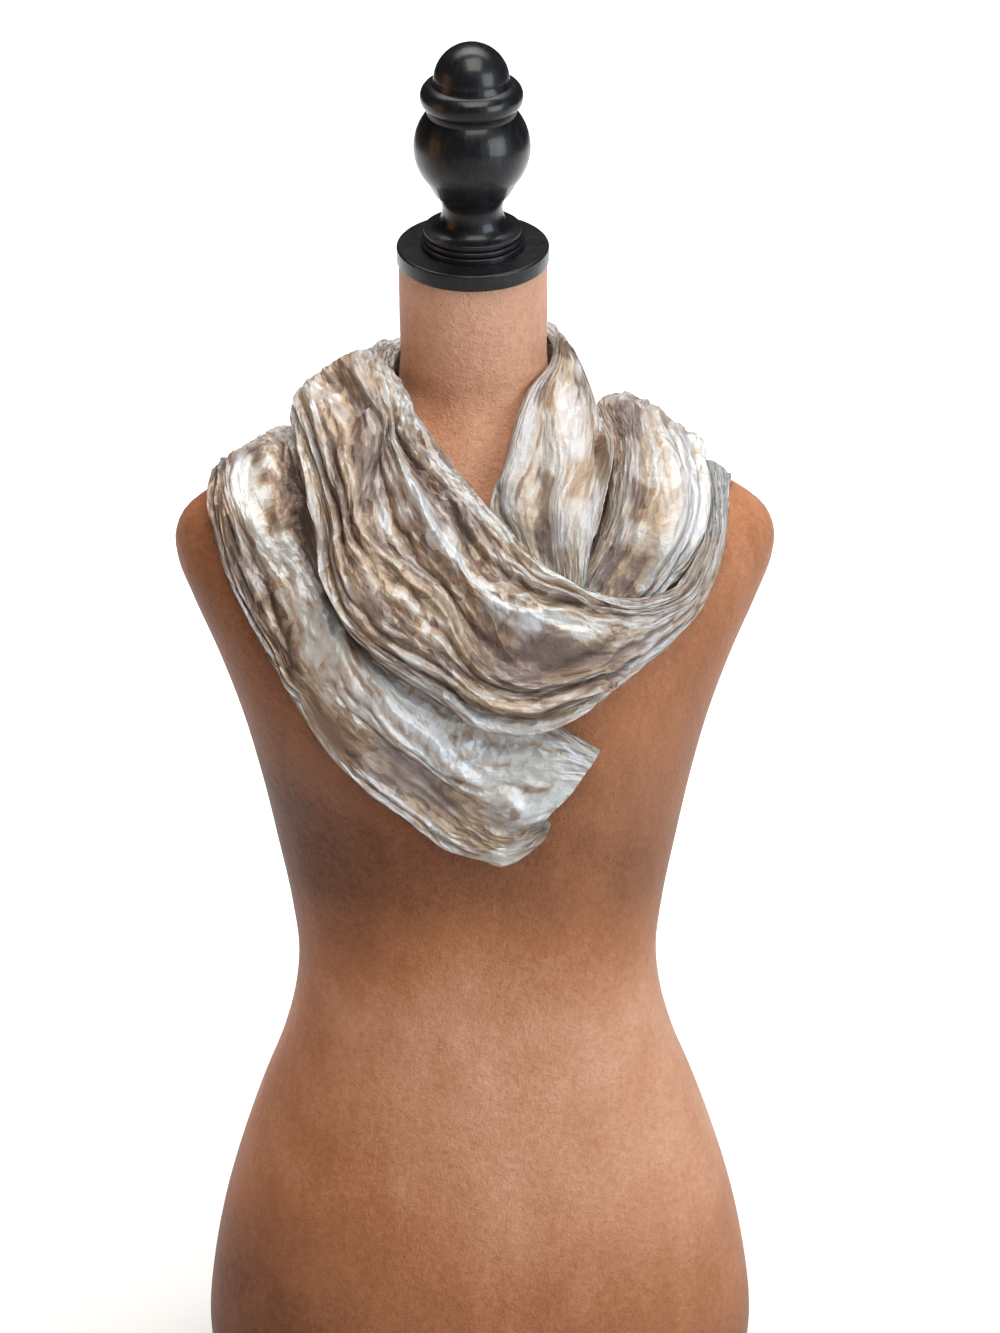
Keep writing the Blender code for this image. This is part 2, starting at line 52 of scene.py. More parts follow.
# Dress form
NECK_LEAN = math.radians(15)
NECK_BASE = 690
NECK_TOP = 808
FORM_SIDES = 208
FORM_RING_STEP = 5
BASE_EDGE = 4
FORM_COLUMNS = ("height", "half_width", "front", "back", "squareness")
FORM_RINGS = (
    (0, 182, 105, 105, 2.35),
    (60, 190, 107, 118, 2.35),
    (100, 186, 107, 120, 2.3),
    (145, 177, 105, 115, 2.3),
    (190, 164, 101, 104, 2.25),
    (230, 150, 97, 95, 2.2),
    (270, 134, 94, 87, 2.2),
    (300, 126, 93, 83, 2.2),
    (330, 123, 93, 82, 2.2),
    (365, 127, 96, 85, 2.2),
    (410, 136, 102, 91, 2.2),
    (460, 147, 110, 98, 2.25),
    (500, 158, 113, 102, 2.3),
    (545, 175, 107, 104, 2.35),
    (580, 191, 94, 102, 2.4),
    (605, 201, 82, 98, 2.4),
    (622, 202, 74, 93, 2.35),
    (637, 194, 68, 88, 2.25),
    (650, 176, 62, 83, 2.2),
    (663, 151, 56, 78, 2.1),
    (677, 120, 51, 73, 2.05),
    (690, 89, 46, 68, 2.0),
    (702, 66, 41, 63, 2.0),
    (716, 53, 38, 59, 2.0),
    (735, 49.5, 42, 54, 2.0),
    (770, 49.3, 51.5, 44.5, 2.0),
    (808, 49.3, 62, 34.5, 2.0),
    (835, 49.3, 69, 27.5, 2.0),
)
BUST_SPREAD_X = 72
BUST_HEIGHT = 497
BUST_WIDTH = 46
BUST_DEPTH = 52
BUST_FORWARD = 16

# Turned wooden cap and finial
PLATE_RADIUS = 50.5
PLATE_THICKNESS = 11.5
PLATE_EDGE = 1.5
TURNED_SIDES = 128
JOINT_GAP = 0.3

# Cloth: its thickness, the room between it and the form, and the further room over a layer of cloth,
# which is whole where that layer stands this high
CLOTH_WALL = 0.8
CLOTH_CLEARANCE = 1.6
LAYER_CLEARANCE = 1.2
LAYER_FULL = 2

# Its grid: spaces across, neighbours' lines that a stretch is worked out with, and how the lines
# wander: how far as a share of the width, repeats across, length along, start
COLUMNS = 150
OVERLAP = 4
SWAYS = ((0.030, 1.7, 290, 1.2), (0.018, 3.1, -170, 2.4))

# Its section: the power of the half ellipse it arches in, and how far its face stands out from that
ARCH_SQUARENESS = 2.4
PUFF = -1

# One row for each section of a stretch: the edge nearest the neck, the far edge, and how high the
# cloth arches above the straight line between them
STRETCH_COLUMNS = ("inner_x", "inner_y", "inner_z", "outer_x", "outer_y", "outer_z", "crown")
LEFT_SHOULDER = (-106, 16, 688, -177, 22, 653, 6)
RIGHT_SHOULDER = (82, 17, 703, 150, 15, 672, 12)
LEFT_NECK = (-53, 10, 728, -119, 9, 694, 21)
RIGHT_NECK = (52, 24, 744, 68, 24, 734, 7)
TAIL_DRAPE = (
    (82, -127, 503, 42, -122, 442, 5),
    (60, -128, 518, 18, -118, 425, 8),
    (29, -121, 532, -14, -113, 430, 10),
    (0, -113, 547, -40, -113, 449, 11),
    (-29, -107, 563, -70, -117, 474, 12),
    (-52, -97, 584, -98, -107, 500, 12),
    (-69, -83, 608, -122, -89, 532, 12),
    (-82, -71, 632, -144, -73, 567, 11),
    (-92, -53, 659, -163, -58, 601, 10),
    (-99, -33, 677, -176, -31, 638, 9),
    (-104, -8, 686, -178, -2, 652, 7),
    LEFT_SHOULDER,
)
BACK_OUTER = (
    LEFT_SHOULDER,
    (-104, 46, 682, -174, 50, 643, 9),
    (-82, 64, 680, -146, 82, 616, 15),
    (-42, 75, 680, -86, 103, 586, 18),
    (0, 78, 680, -12, 110, 574, 20),
    (40, 75, 681, 56, 107, 584, 20),
    (78, 62, 684, 112, 95, 608, 20),
    (90, 43, 695, 142, 62, 645, 20),
    RIGHT_SHOULDER,
)
RIGHT_FALL = (
    RIGHT_SHOULDER,
    (88, -25, 690, 151, -22, 659, 15),
    (88, -48, 675, 150, -44, 644, 22),
    (86, -68, 652, 145, -62, 624, 22),
    (78, -80, 631, 132, -76, 604, 18),
    (67, -91, 609, 115, -88, 588, 12),
    (60, -99, 590, 97, -98, 572, 6),
)
FRONT_WRAP = (
    (128, 88, 612, 132, 87, 608, 1),
    (148, 70, 635, 159, 69, 630, 3),
    (158, 44, 654, 172, 41, 648, 4),
    (155, 14, 665, 171, 12, 652, 5),
    (157, -22, 654, 170, -16, 650, 5),
    (154, -49, 641, 166, -46, 631, 9),
    (149, -76, 628, 158, -64, 603, 6),
    (136, -98, 610, 148, -72, 588, 9),
    (113, -107, 602, 130, -85, 569, 11),
    (87, -112, 604, 105, -99, 553, 16),
    (63, -112, 611, 82, -113, 540, 22),
    (46, -105, 618, 70, -129, 529, 24),
    (33, -96, 630, 45, -136, 518, 25),
    (21, -85, 643, 13, -135, 518, 25),
    (-2, -67, 660, -19, -131, 535, 27),
    (-17, -57, 677, -52, -126, 555, 27),
    (-32, -43, 697, -80, -113, 578, 26),
    (-41, -29, 709, -97, -95, 609, 25),
    (-47, -18, 717, -103, -76, 643, 24),
    (-51, -6, 723, -112, -45, 677, 22),
    LEFT_NECK,
)
BACK_NECK = (
    LEFT_NECK,
    (-51, 26, 737, -108, 50, 692, 11),
    (-42, 38, 742, -84, 88, 686, 6),
    (-20, 51, 747, -45, 104, 677, 9),
    (6, 54, 753, 4, 108, 677, 14),
    (32, 46, 754, 48, 99, 690, 14),
    (46, 33, 752, 66, 60, 710, 12),
    RIGHT_NECK,
)
INNER_FALL = (
    RIGHT_NECK,
    (49, -4, 736, 74, 2, 728, 8),
    (34, -26, 721, 82, -18, 710, 10),
    (26, -43, 702, 85, -41, 691, 12),
    (19, -58, 677, 86, -66, 669, 10),
    (10, -70, 655, 83, -86, 654, 9),
    (20, -82, 633, 77, -100, 632, 6),
    (33, -91, 610, 73, -109, 610, 4),
    (42, -96, 590, 67, -114, 591, 3),
)

# The two turns.  Each has the width of gathered cloth that its crinkles are spread over, the outline
# of its free end, and a chain of stretches that share their end rows: name, rows, distance between
# the grid's lines along the cloth.  The outline is drawn back this far at shares of the width.
END_COLUMNS = ("across", "drawn_back")
FIRST_TURN = {
    "width": 150,
    "free_end": ((0, 0), (0.3, 0), (0.5, 1), (0.57, 7), (0.64, 1), (0.8, 0), (0.92, 7), (1, 27)),
    "stretches": (
        ("scarf_tail_drape", TAIL_DRAPE, 1.5),
        ("scarf_back_outer", BACK_OUTER, 1.7),
        ("scarf_right_fall", RIGHT_FALL, 1.4),
    ),
}
SECOND_TURN = {
    "width": 175,
    "free_end": ((0, 0), (1, 0)),
    "stretches": (
        ("scarf_front_wrap", FRONT_WRAP, 1.8),
        ("scarf_back_neck", BACK_NECK, 1.7),
        ("scarf_inner_fall", INNER_FALL, 1.3),
    ),
}
END_REACH = 70

# What each stretch lies on, in the order in which they are laid
LIES_ON = {
    "scarf_tail_drape": (),
    "scarf_back_outer": (),
    "scarf_right_fall": (),
    "scarf_back_neck": ("scarf_tail_drape", "scarf_back_outer"),
    "scarf_inner_fall": ("scarf_back_outer", "scarf_right_fall"),
    "scarf_front_wrap": (
        "scarf_tail_drape",
        "scarf_back_outer",
        "scarf_right_fall",
        "scarf_inner_fall",
    ),
}
# Shares of a stretch's length between which it comes to rest on them
RESTS_FROM = {"scarf_front_wrap": (0.26, 0.36)}
RESTS_ALL_ALONG = (-1, -0.9)
# The heights of what is laid are kept by direction from a point inside the form, in cells
LAYER_CORE = (0, 20, 480)
LAYER_CELL = math.radians(1.5)

# In the tables of creases, fans, calm places and bands, places along (u) and across (v, w) a stretch
# are in hundredths
HUNDRED = 100
ALONG = ("u0", "u1", "u2")
ACROSS = ("v0", "v1", "v2", "w0", "w1", "w2")

# Listed creases.  Each runs through a start, a middle and an end point.  power shapes the
# section: 2 is a round bell, 1 comes to a point.  steep makes the side towards the outer edge wider
# and the other narrower, or the reverse below 0.
CREASE_COLUMNS = ("height", "half_width", "power", "steep", "u0", "v0", "u1", "v1", "u2", "v2")
CREASES = {
    "scarf_front_wrap": (
        (6, 6, 1.2, 0.2, 44, 48, 70, 40, 96, 24),
        (5, 7, 1.6, -0.2, 42, 23, 70, 15, 102, 15),
        (-7, 8, 1.8, 0, 49, 36, 66, 32.5, 81, 28),
        (-8, 4, 1.3, 0, 76, 25, 81, 25, 89, 23),
        (3, 3, 1.2, 0, 42, 40, 52, 39, 66, 40),
        (3, 3, 1.2, 0, 40, 28, 50, 29, 64, 26),
        (2.6, 2.5, 1.2, 0, 40, 56, 48, 62, 56, 64),
        (-2.6, 2.5, 1.2, 0, 41, 62, 48, 68, 58, 70),
        (2.6, 2.5, 1.2, 0, 42, 70, 49, 76, 60, 76),
        (2.6, 2.5, 1.2, 0, 43, 84, 50, 86, 62, 86),
        (-11, 7, 1.6, 0, 90, 46, 94, 48, 100, 51),
        (6, 14, 2, 0, 84, 41, 93, 40, 104, 40),
        (-8, 12, 2, 0, 50, 55, 69, 52, 90, 47),
        (5.5, 5, 1.3, 0.3, 45, 60, 58, 60, 77, 62),
        (-5, 4.5, 1.4, 0, 47, 65, 58, 69, 70, 70),
        (4.5, 5, 1.3, -0.2, 64, 73, 75, 70, 83, 70),
        (5, 4.5, 1.3, 0.2, 46, 70, 57, 78, 70, 79),
        (-5, 4, 1.4, 0, 47, 75, 58, 85, 71, 86),
        (4, 4, 1.3, 0, 47, 81, 58, 90, 70, 91),
        (-2.5, 2.5, 1.1, 0, 93, 57, 86, 66, 78, 74),
        (-2.5, 2.5, 1.1, 0, 87, 58, 80, 64, 73, 70),
        (3.5, 3.5, 1.2, 0, 82, 63, 92, 61, 102, 61),
        (-3.5, 3, 1.3, 0, 82, 68, 92, 67, 102, 66),
        (3.5, 3.5, 1.2, 0, 80, 75, 92, 73, 102, 71),
        (-4, 3.5, 1.3, 0, 78, 82, 90, 79, 102, 77),
        (3.5, 4, 1.4, 0, 76, 90, 88, 87, 102, 84),
    ),
    "scarf_tail_drape": (
        (-8, 7, 1.6, 0, 48, 41, 68, 43, 94, 39),
        (5, 10, 1.8, 0.1, 72, 54, 88, 56, 105, 56),
        (5, 9, 1.5, 0, 70, 54, 42, 49, 10, 41),
        (-5, 5, 1.5, 0, 56, 67, 68, 63, 80, 62),
        (3.5, 5, 1.4, 0, 72, 72, 88, 72, 104, 72),
        (3, 4, 1.4, 0, 70, 81, 88, 82, 104, 82),
        (-5, 12, 2, 0, 38, 77, 46, 80, 56, 80),
        (-6, 10, 1.8, 0, 9, 67, 25, 70, 40, 73),
        (3, 10, 2, 0, 16, 58, 27, 57, 37, 55),
        (-2.5, 3, 1.1, 0, 42, 82, 36, 68, 30, 50),
        (3, 6, 1.6, 0, 10, 90, 27, 93, 44, 92),
        (4, 3.5, 1.1, 0.3, 30, 39, 16, 48, 2, 52),
        (4, 6, 1.5, 0, 50, 16, 75, 20, 105, 20),
        (5, 14, 2, 0, -6, 80, 2, 84, 10, 88),
        (-4, 5, 1.5, 0, -6, 60, 5, 62, 16, 66),
        (2.5, 3, 1.2, 0, -4, 56, 5, 55, 14, 53),
    ),
    "scarf_inner_fall": (
        (-6, 3.5, 1.3, 0, 14, 36, 50, 42, 90, 47),
        (4, 8, 1.8, 0, 6, 26, 36, 25, 68, 28),
        (-11, 7, 1.8, 0, 60, 17, 70, 20, 84, 22),
        (5, 15, 2, 0, 10, 55, 45, 60, 86, 62),
        (-6, 4, 1.4, 0, 14, 55, 33, 76, 60, 92),
        (3, 3, 1.3, 0, 26, 93, 50, 95, 78, 95),
        (-5, 5, 1.5, 0, -4, 48, 5, 48, 14, 44),
        (3, 3, 1.2, 0, -10, 30, 4, 28, 20, 22),
        (3, 3, 1.2, 0, -10, 66, 4, 66, 20, 70),
    ),
    "scarf_right_fall": (
        (-4, 5, 1.6, 0, -10, 16, 20, 15, 48, 12),
        (4.5, 6, 1.4, 0, -10, 30, 35, 28, 70, 30),
        (-3, 3.5, 1.3, 0, 5, 42, 40, 42, 75, 45),
        (4.5, 6, 1.4, 0, -10, 58, 35, 56, 80, 60),
        (-3, 3.5, 1.3, 0, -5, 70, 35, 70, 80, 72),
        (4, 6, 1.4, 0, -10, 82, 35, 82, 90, 84),
        (3, 2.5, 1.2, 0, 45, 4, 70, 3, 95, 5),
    ),
    "scarf_back_outer": (
        (7, 13, 1.8, 0, -5, 44, 40, 42, 105, 40),
        (6, 11, 1.6, 0.2, 6, 76, 50, 72, 90, 73),
        (-6, 7, 1.5, 0, 15, 60, 52, 58, 92, 58),
        (4.5, 7, 1.4, 0, -5, 20, 50, 22, 105, 22),
        (-4.5, 6, 1.5, 0, 10, 31, 50, 31, 95, 31),
        (-4, 5, 1.4, 0, 5, 88, 45, 86, 80, 88),
        (-2.5, 3, 1.1, 0, 30, 50, 40, 66, 52, 84),
        (-2.5, 3, 1.1, 0, 62, 46, 70, 66, 74, 82),
    ),
    "scarf_back_neck": (
        (6, 11, 1.8, 0, -5, 30, 40, 36, 90, 40),
        (5, 11, 1.6, 0, -5, 75, 35, 73, 80, 70),
        (-5, 7, 1.5, 0, 2, 52, 40, 55, 88, 56),
        (-4, 5, 1.4, 0, 10, 88, 40, 88, 75, 86),
        (-3, 4, 1.3, 0, 8, 14, 45, 18, 90, 24),
    ),
}

# A row of noise says how much it adds, its size along and across, and its seed number.  Creases have
# sharp kinks and soft bends.  Creases and bands are followed through this many points, and fade at
# both ends over this share of their length.
KINKS = (2.4, 13, 16, 7)
BENDS = ((3, 45, 30, 8),)
PATH_POINTS = 11
END_FADE = 0.2

# Within RIM of a long edge creases fade out, and crinkles fade to this share of their height.  Where
# the ribbon narrows from the second of these shares of the turn's width to the first, both fade out.
RIM = 14
RIM_CRINKLE = 0.3
GATHERED = (0.05, 0.6)

# Fans of thin pleats, ridges and grooves by turns.  At the start, the middle and the end of a fan (u)
# its first and last pleat are this far across (v, w).  A pleat takes its place, its height and how
# much shorter it is by chance, as shares between these.
FAN_COLUMNS = ("height", "half_width", "count", "u0", "v0", "w0", "u1", "v1", "w1", "u2", "v2", "w2")
PLEAT_PLACE = (0.2, 0.8)
PLEAT_HEIGHT = (0.5, 1.2)
PLEAT_SHORTER = (0, 0.12)
PLEAT_POWER = 1.3
FANS = {
    "scarf_front_wrap": (
        (2.2, 2, 15, 100, 34, 95, 80, 42, 96, 58, 52, 97),
        (1.6, 1.8, 15, 36, 10, 92, 48, 16, 94, 66, 60, 97),
        (1.8, 1.8, 5, 38, 10, 42, 52, 17, 42, 74, 14, 34),
        (1.8, 2, 9, -4, 10, 90, 20, 10, 90, 44, 12, 90),
    ),
    "scarf_tail_drape": (
        (1.3, 1.8, 10, 102, 44, 92, 75, 44, 92, 46, 50, 94),
        (1.5, 1.6, 8, 54, 38, 64, 28, 34, 60, -4, 14, 56),
        (1.2, 1.6, 4, 44, 70, 90, 24, 68, 90, 4, 66, 86),
    ),
    "scarf_inner_fall": ((1.4, 1.6, 6, -8, 10, 90, 10, 12, 88, 34, 16, 84),),
    "scarf_right_fall": ((1.9, 1.8, 11, -10, 24, 94, 40, 34, 95, 102, 30, 95),),
    "scarf_back_outer": ((2.2, 2.2, 13, -6, 8, 92, 50, 10, 92, 106, 10, 92),),
    "scarf_back_neck": ((2.2, 2.2, 11, -6, 10, 92, 50, 12, 90, 104, 12, 90),),
}

# Crinkles: height, distance between crests across and along the cloth, turn in degrees, and shape:
# flat facets that meet in sharp lines (0), or sharp crests with round valleys (1), which are made
# narrower and steeper by these.  The map they are drawn on wanders along and across.
CRINKLE_COLUMNS = ("height", "across", "along", "turned", "crests")
CRINKLES = (
    (0.6, 17, 56, 4, 0),
    (1.0, 9, 60, -3, 1),
    (0.8, 5.2, 34, 5, 1),
    (1.1, 7.5, 30, -9, 0),
    (0.7, 4.2, 14, 7, 0),
)
CREST_NARROWING = 2.3
CREST_POWER = 1.3
WANDERS_ALONG = ((14, 75, 34, 50), (6, 26, 11, 60))
WANDERS_ACROSS = ((8, 60, 40, 55), (2.5, 22, 12, 65))

# Calm places, where crinkles nearly vanish, each a soft oval
CALM_COLUMNS = ("along", "across", "reach_along", "reach_across", "calm")
CALMS = {
    "scarf_front_wrap": (
        (94, 40, 6, 10, 0.8),
        (54, 55, 10, 6, 0.6),
    ),
    "scarf_tail_drape": (
        (46, 80, 8, 12, 0.85),
        (26, 66, 14, 12, 0.75),
        (90, 55, 12, 7, 0.6),
    ),
    "scarf_inner_fall": ((50, 56, 60, 50, 0.85),),
    "scarf_right_fall": ((50, 45, 70, 50, 0.5),),
    "scarf_back_outer": ((45, 62, 16, 12, 0.6),),
    "scarf_back_neck": ((45, 50, 20, 14, 0.6),),
}

# Tone of the changeable satin: silver below 0, champagne at 0, tan at 1 and brown at 2.  Each stretch
# has its own, and bands add to it.  Many bands are painted light and shade: they follow creases,
# darker along grooves, hollows and the gaps that an overhanging layer shades (painted shade), and
# lighter along ridges and streaks (painted highlight); the others are the satin's own patches of
# colour.  A band runs through three points, and fades out between these shares of its half width,
# at an edge made ragged by rows of noise.
STRETCH_TONES = {
    "scarf_tail_drape": 0.05,
    "scarf_back_outer": 0.25,
    "scarf_right_fall": -0.15,
    "scarf_front_wrap": 0.50,
    "scarf_back_neck": 0.30,
    "scarf_inner_fall": -0.9,
}
TONE_COLUMNS = ("tone", "half_width", "u0", "v0", "u1", "v1", "u2", "v2")
TONE_AND_PAINTED_LIGHT_BANDS = {
    "scarf_front_wrap": (
        (-2.3, 2.8, 44, 46.5, 70, 39.5, 96, 22),
        (-1.5, 4, 40, 16, 64, 20, 94, 16),
        (0.9, 8, 62, 50, 76, 47, 98, 36),
        (1.7, 10, 44, 55, 58, 57, 69, 61),
        (1.2, 6, 66, 61, 79, 57, 93, 50),
        (2, 3.5, 40, 98.5, 50, 98, 64, 98.5),
        (-1.9, 3.5, 44, 9, 62, 7, 84, 7),
        (1.6, 6, 46, 34, 62, 38, 68, 34),
        (2.1, 5, 66, 33, 71, 30, 80, 29),
        (1, 6, 62, 28, 70, 25, 76, 24),
        (2.8, 3, 76, 26, 81, 25, 90, 23),
        (-0.9, 5, 44, 66, 50, 69, 56, 72),
        (1.5, 3, 47, 74, 60, 71, 76, 72),
        (-0.9, 4, 50, 68, 60, 66, 70, 68),
        (1.9, 4, 48, 80, 60, 80, 74, 86),
        (-0.8, 4, 48, 90, 60, 90, 70, 80),
        (0.8, 9, 72, 76, 82, 78, 92, 66),
        (1.5, 3, 76, 68, 84, 66, 92, 60),
        (1.4, 3, 80, 86, 90, 76, 100, 68),
        (1.5, 4, 88, 49, 94, 49, 100, 50),
        (-0.6, 7, 86, 74, 94, 74, 104, 72),
        (-2.2, 16, -4, 50, 12, 50, 38, 50),
        (-0.5, 10, 74, 40, 86, 40, 100, 36),
        (-0.9, 6, 80, 18, 90, 18, 102, 20),
        (1.8, 3, 72, 98.5, 84, 98, 96, 98),
    ),
    "scarf_tail_drape": (
        (-1.3, 8, 98, 51, 68, 53, 40, 48),
        (-1.4, 10, 46, 50, 24, 45, -4, 38),
        (-1, 10, 20, 26, 8, 32, -4, 36),
        (3.6, 5, 42, 38, 66, 41, 100, 40),
        (-0.8, 9, 66, 56, 80, 58, 94, 58),
        (0.5, 8, 84, 62, 94, 64, 104, 64),
        (1.2, 14, 52, 86, 74, 86, 104, 86),
        (1, 3, 62, 69, 80, 72, 100, 72),
        (1, 3, 70, 46, 84, 46, 100, 46),
        (1.9, 5, 50, 70, 66, 62, 86, 60),
        (0.8, 7, 50, 79, 70, 75, 102, 72),
        (0.7, 8, 14, 55, 27, 60, 42, 64),
        (1.6, 7, 2, 68, 18, 73, 38, 78),
        (1.6, 12, 36, 76, 44, 81, 54, 80),
        (-2.6, 5, 15, 95, 28, 96, 44, 95),
        (1.4, 8, -2, 102, 0, 82, 2, 62),
        (-3.6, 4, 13, 102, 8.5, 84, 3.5, 68),
        (-2.4, 3, -2, 57, 3, 55.5, 8, 53),
    ),
    "scarf_inner_fall": (
        (1.6, 6, 48, 62, 58, 68, 66, 70),
        (1.5, 7, 78, 58, 86, 62, 98, 66),
        (-0.6, 8, 16, 26, 40, 24, 62, 30),
        (2.2, 1.5, 34, 40, 56, 43, 90, 47),
        (2.2, 2.5, 12, 36, 24, 38, 36, 40),
        (2.2, 3.5, 14, 55, 33, 76, 60, 92),
        (0.9, 6, 68, 32, 76, 36, 86, 38),
        (2.6, 5, -6, 48, 3, 48, 14, 44),
        (1.4, 3, 2, 80, 10, 78, 22, 76),
    ),
    "scarf_right_fall": (
        (1.9, 10, 0, 22, 18, 24, 32, 22),
        (2.2, 6, 26, 4, 36, 6, 46, 8),
        (2, 9, 46, 40, 53, 40, 62, 42),
        (2, 11, 68, 36, 78, 42, 92, 48),
        (-0.8, 20, -10, 78, 40, 78, 95, 80),
    ),
    "scarf_back_outer": (
        (1.5, 7, 15, 60, 52, 58, 92, 58),
        (-1.1, 9, -5, 44, 40, 42, 105, 40),
        (1.3, 6, 10, 31, 50, 31, 95, 31),
        (-1, 8, 6, 76, 50, 72, 90, 73),
        (0.9, 8, 5, 90, 45, 88, 80, 90),
    ),
    "scarf_back_neck": (
        (-1.1, 8, -5, 30, 40, 36, 90, 40),
        (1.6, 7, 2, 52, 40, 55, 88, 56),
        (-0.9, 8, -5, 75, 35, 73, 80, 70),
        (1.1, 6, 10, 88, 40, 88, 75, 86),
    ),
}
BAND_EDGE = (0.4, 1.7)
RAGGED = ((6, 34, 6, 30), (3, 11, 4, 31))

# Height of crinkles that counts as a full crest
CREST_FULL = 3

# Painted highlight and painted shade: how much lighter the top of a thin ridge is painted, how
# much darker the bottom of a thin groove, and the half width below which a crease counts as thin
PAINTED_RIDGE_HIGHLIGHT = 0.7
PAINTED_GROOVE_SHADE = 1.6
THIN = 3.2

# Painted light: cloth that leans up, towards its inner edge, is painted lighter as if lit from
# above: how much, and the slope of full effect
PAINTED_LEAN_LIGHT = 0.6
FULL_LEAN = 0.45

# Sharp edges are those that turn by more than this, in degrees
FORM_SHARP = 50
TURNED_SHARP = 40
CLOTH_SHARP = 75

# Seeds of the two turns, what a turn's fans add to its seed, and corners of noise before it repeats
TURN_SEEDS = (11, 111)
FAN_SEED = 70
NOISE_CORNERS = 128

# --- Stage ---

FLOOR_REACH = 30
CAMERA_PLACE = (0.0165, -3.09096, 1.35422)
CAMERA_DOWN = math.radians(15)
CAMERA_ROLL = math.radians(0.3)
LENS = 127.09
SENSOR = 36
ROOM_COLOUR = (0.52, 0.40, 0.32)
ROOM_LIGHT = 0.08
# name, place, target, (width, height), power, colour, spread in degrees
LAMPS = (
    ("ceiling", (0.30, -1.55, 3.05), (0, 0, 0.5), (1.9, 1.9), 66, (1.0, 0.94, 0.85), 180),
    ("window", (2.30, -1.85, 1.15), (0, 0, 0.55), (1.8, 1.8), 62, (0.82, 0.91, 1.0), 180),
    ("warm_fill", (-2.8, -0.6, 0.9), (0, 0, 0.5), (1.4, 1.4), 8, (1.0, 0.48, 0.16), 180),
    ("floor_light", (0, 6.3, 3.0), (0, 6.7, 0), (10, 12.8), 860, (1.0, 1.0, 1.0), 90),
)


# --- Curves and grids ---


def table(columns, rows):
    """The rows as one array for each named column."""
    return dict(zip(columns, np.array(rows, dtype=float).T))


def smooth(at, knots, values):
    """Cubic curve through (knots, values), whose slope at a knot is the weighted mean of its sides."""
    steps = np.diff(knots)
    rates = np.diff(values) / steps
    slopes = np.empty(len(knots))
    slopes[0] = rates[0]
    slopes[-1] = rates[-1]
    slopes[1:-1] = (rates[:-1] * steps[1:] + rates[1:] * steps[:-1]) / (steps[:-1] + steps[1:])
    left = np.clip(np.searchsorted(knots, at, side="right") - 1, 0, len(knots) - 2)
    step = steps[left]
    t = np.clip((at - knots[left]) / step, 0, 1)
    start = (1 + 2 * t) * (1 - t) ** 2 * values[left] + t * (1 - t) ** 2 * step * slopes[left]
    end = t * t * (3 - 2 * t) * values[left + 1] - t * t * (1 - t) * step * slopes[left + 1]
    return start + end


def smooth_step(value, low, high):
    """0 below low, 1 above high, and an S between them."""
    t = np.clip((value - low) / (high - low), 0, 1)
    return t * t * (3 - 2 * t)


def fade_ends(place):
    """1 along the middle of a line, falling to 0 at both of its ends."""
    return smooth_step(place, 0, END_FADE) * (1 - smooth_step(place, 1 - END_FADE, 1))


def unit(vectors):
    """The vectors at length 1."""
    return vectors / np.maximum(np.linalg.norm(vectors, axis=-1, keepdims=True), 1e-9)


def corner_values(x, y, seed, low, high):
    """Each point's place in its square, and its corners' random values by steps right and up."""
    values = np.random.default_rng(seed).uniform(low, high, (NOISE_CORNERS, NOISE_CORNERS))
    column, row = np.floor(x), np.floor(y)

    def at(step_x, step_y):
        right = (column + step_x).astype(int) % NOISE_CORNERS
        up = (row + step_y).astype(int) % NOISE_CORNERS
        return values[right, up]

    return x - column, y - row, at


def slope_noise(x, y, seed):
    """Smooth noise from about -1 to 1: a random slope at each whole corner, joined by S curves."""
    right, up, turn_at = corner_values(x, y, seed, 0, 2 * math.pi)
    total = 0
    for step_x in (0, 1):
        for step_y in (0, 1):
            turn = turn_at(step_x, step_y)
            near_x = smooth_step(right, 0, 1) if step_x else 1 - smooth_step(right, 0, 1)
            near_y = smooth_step(up, 0, 1) if step_y else 1 - smooth_step(up, 0, 1)
            slope = np.cos(turn) * (right - step_x) + np.sin(turn) * (up - step_y)
            total = total + near_x * near_y * slope
    return 1.5 * total


def facet_noise(x, y, seed):
    """Random heights from -1 to 1 at whole corners, joined by flat three-sided facets."""
    right, up, at = corner_values(x, y, seed, -1, 1)
    low = at(0, 0) + right * (at(1, 0) - at(0, 0)) + up * (at(0, 1) - at(0, 0))
    high = at(1, 1) + (1 - right) * (at(0, 1) - at(1, 1)) + (1 - up) * (at(1, 0) - at(1, 1))
    return np.where(right + up < 1, low, high)


def wandering(value, along, across, rows, seed):
    """The value with the smooth noise of each row added."""
    for reach, size_along, size_across, number in rows:
        noise = slope_noise(along / size_along, across / size_across, seed + number)
        value = value + reach * noise
    return value


def strip(number):
    """Four-sided faces between the rows and columns of a grid of point numbers."""
    corners = number[:-1, :-1], number[1:, :-1], number[1:, 1:], number[:-1, 1:]
    return np.stack([corner.ravel() for corner in corners], axis=-1)


# --- Dress form ---

FORM = table(FORM_COLUMNS, FORM_RINGS)


def form_section(height):
    """(half width, middle in y, half depth, squareness) of the form at each height."""
    half_width, front, back, squareness = (
        smooth(height, FORM["height"], FORM[name]) for name in FORM_COLUMNS[1:]
    )
    return half_width, (back - front) / 2, (back + front) / 2, squareness


def bust_reach(x, z):
    """How far the chest stands forward of the plain ring: two soft bell-shaped mounds."""
    up = ((z - BUST_HEIGHT) / BUST_DEPTH) ** 2
    mounds = (np.exp(-(((x - side * BUST_SPREAD_X) / BUST_WIDTH) ** 2) - up) for side in (-1, 1))
    return BUST_FORWARD * sum(mounds)


def form_level(points):
    """1 on the form's surface, less inside it and more outside."""
    x, y, z = np.moveaxis(points, -1, 0)
    half_width, middle, half_depth, squareness = form_section(z)
    y = y - middle
    y = np.where(y < 0, np.minimum(y + bust_reach(x, z), 0), y)
    total = np.abs(x / half_width) ** squareness + np.abs(y / half_depth) ** squareness
    return total ** (1 / squareness)


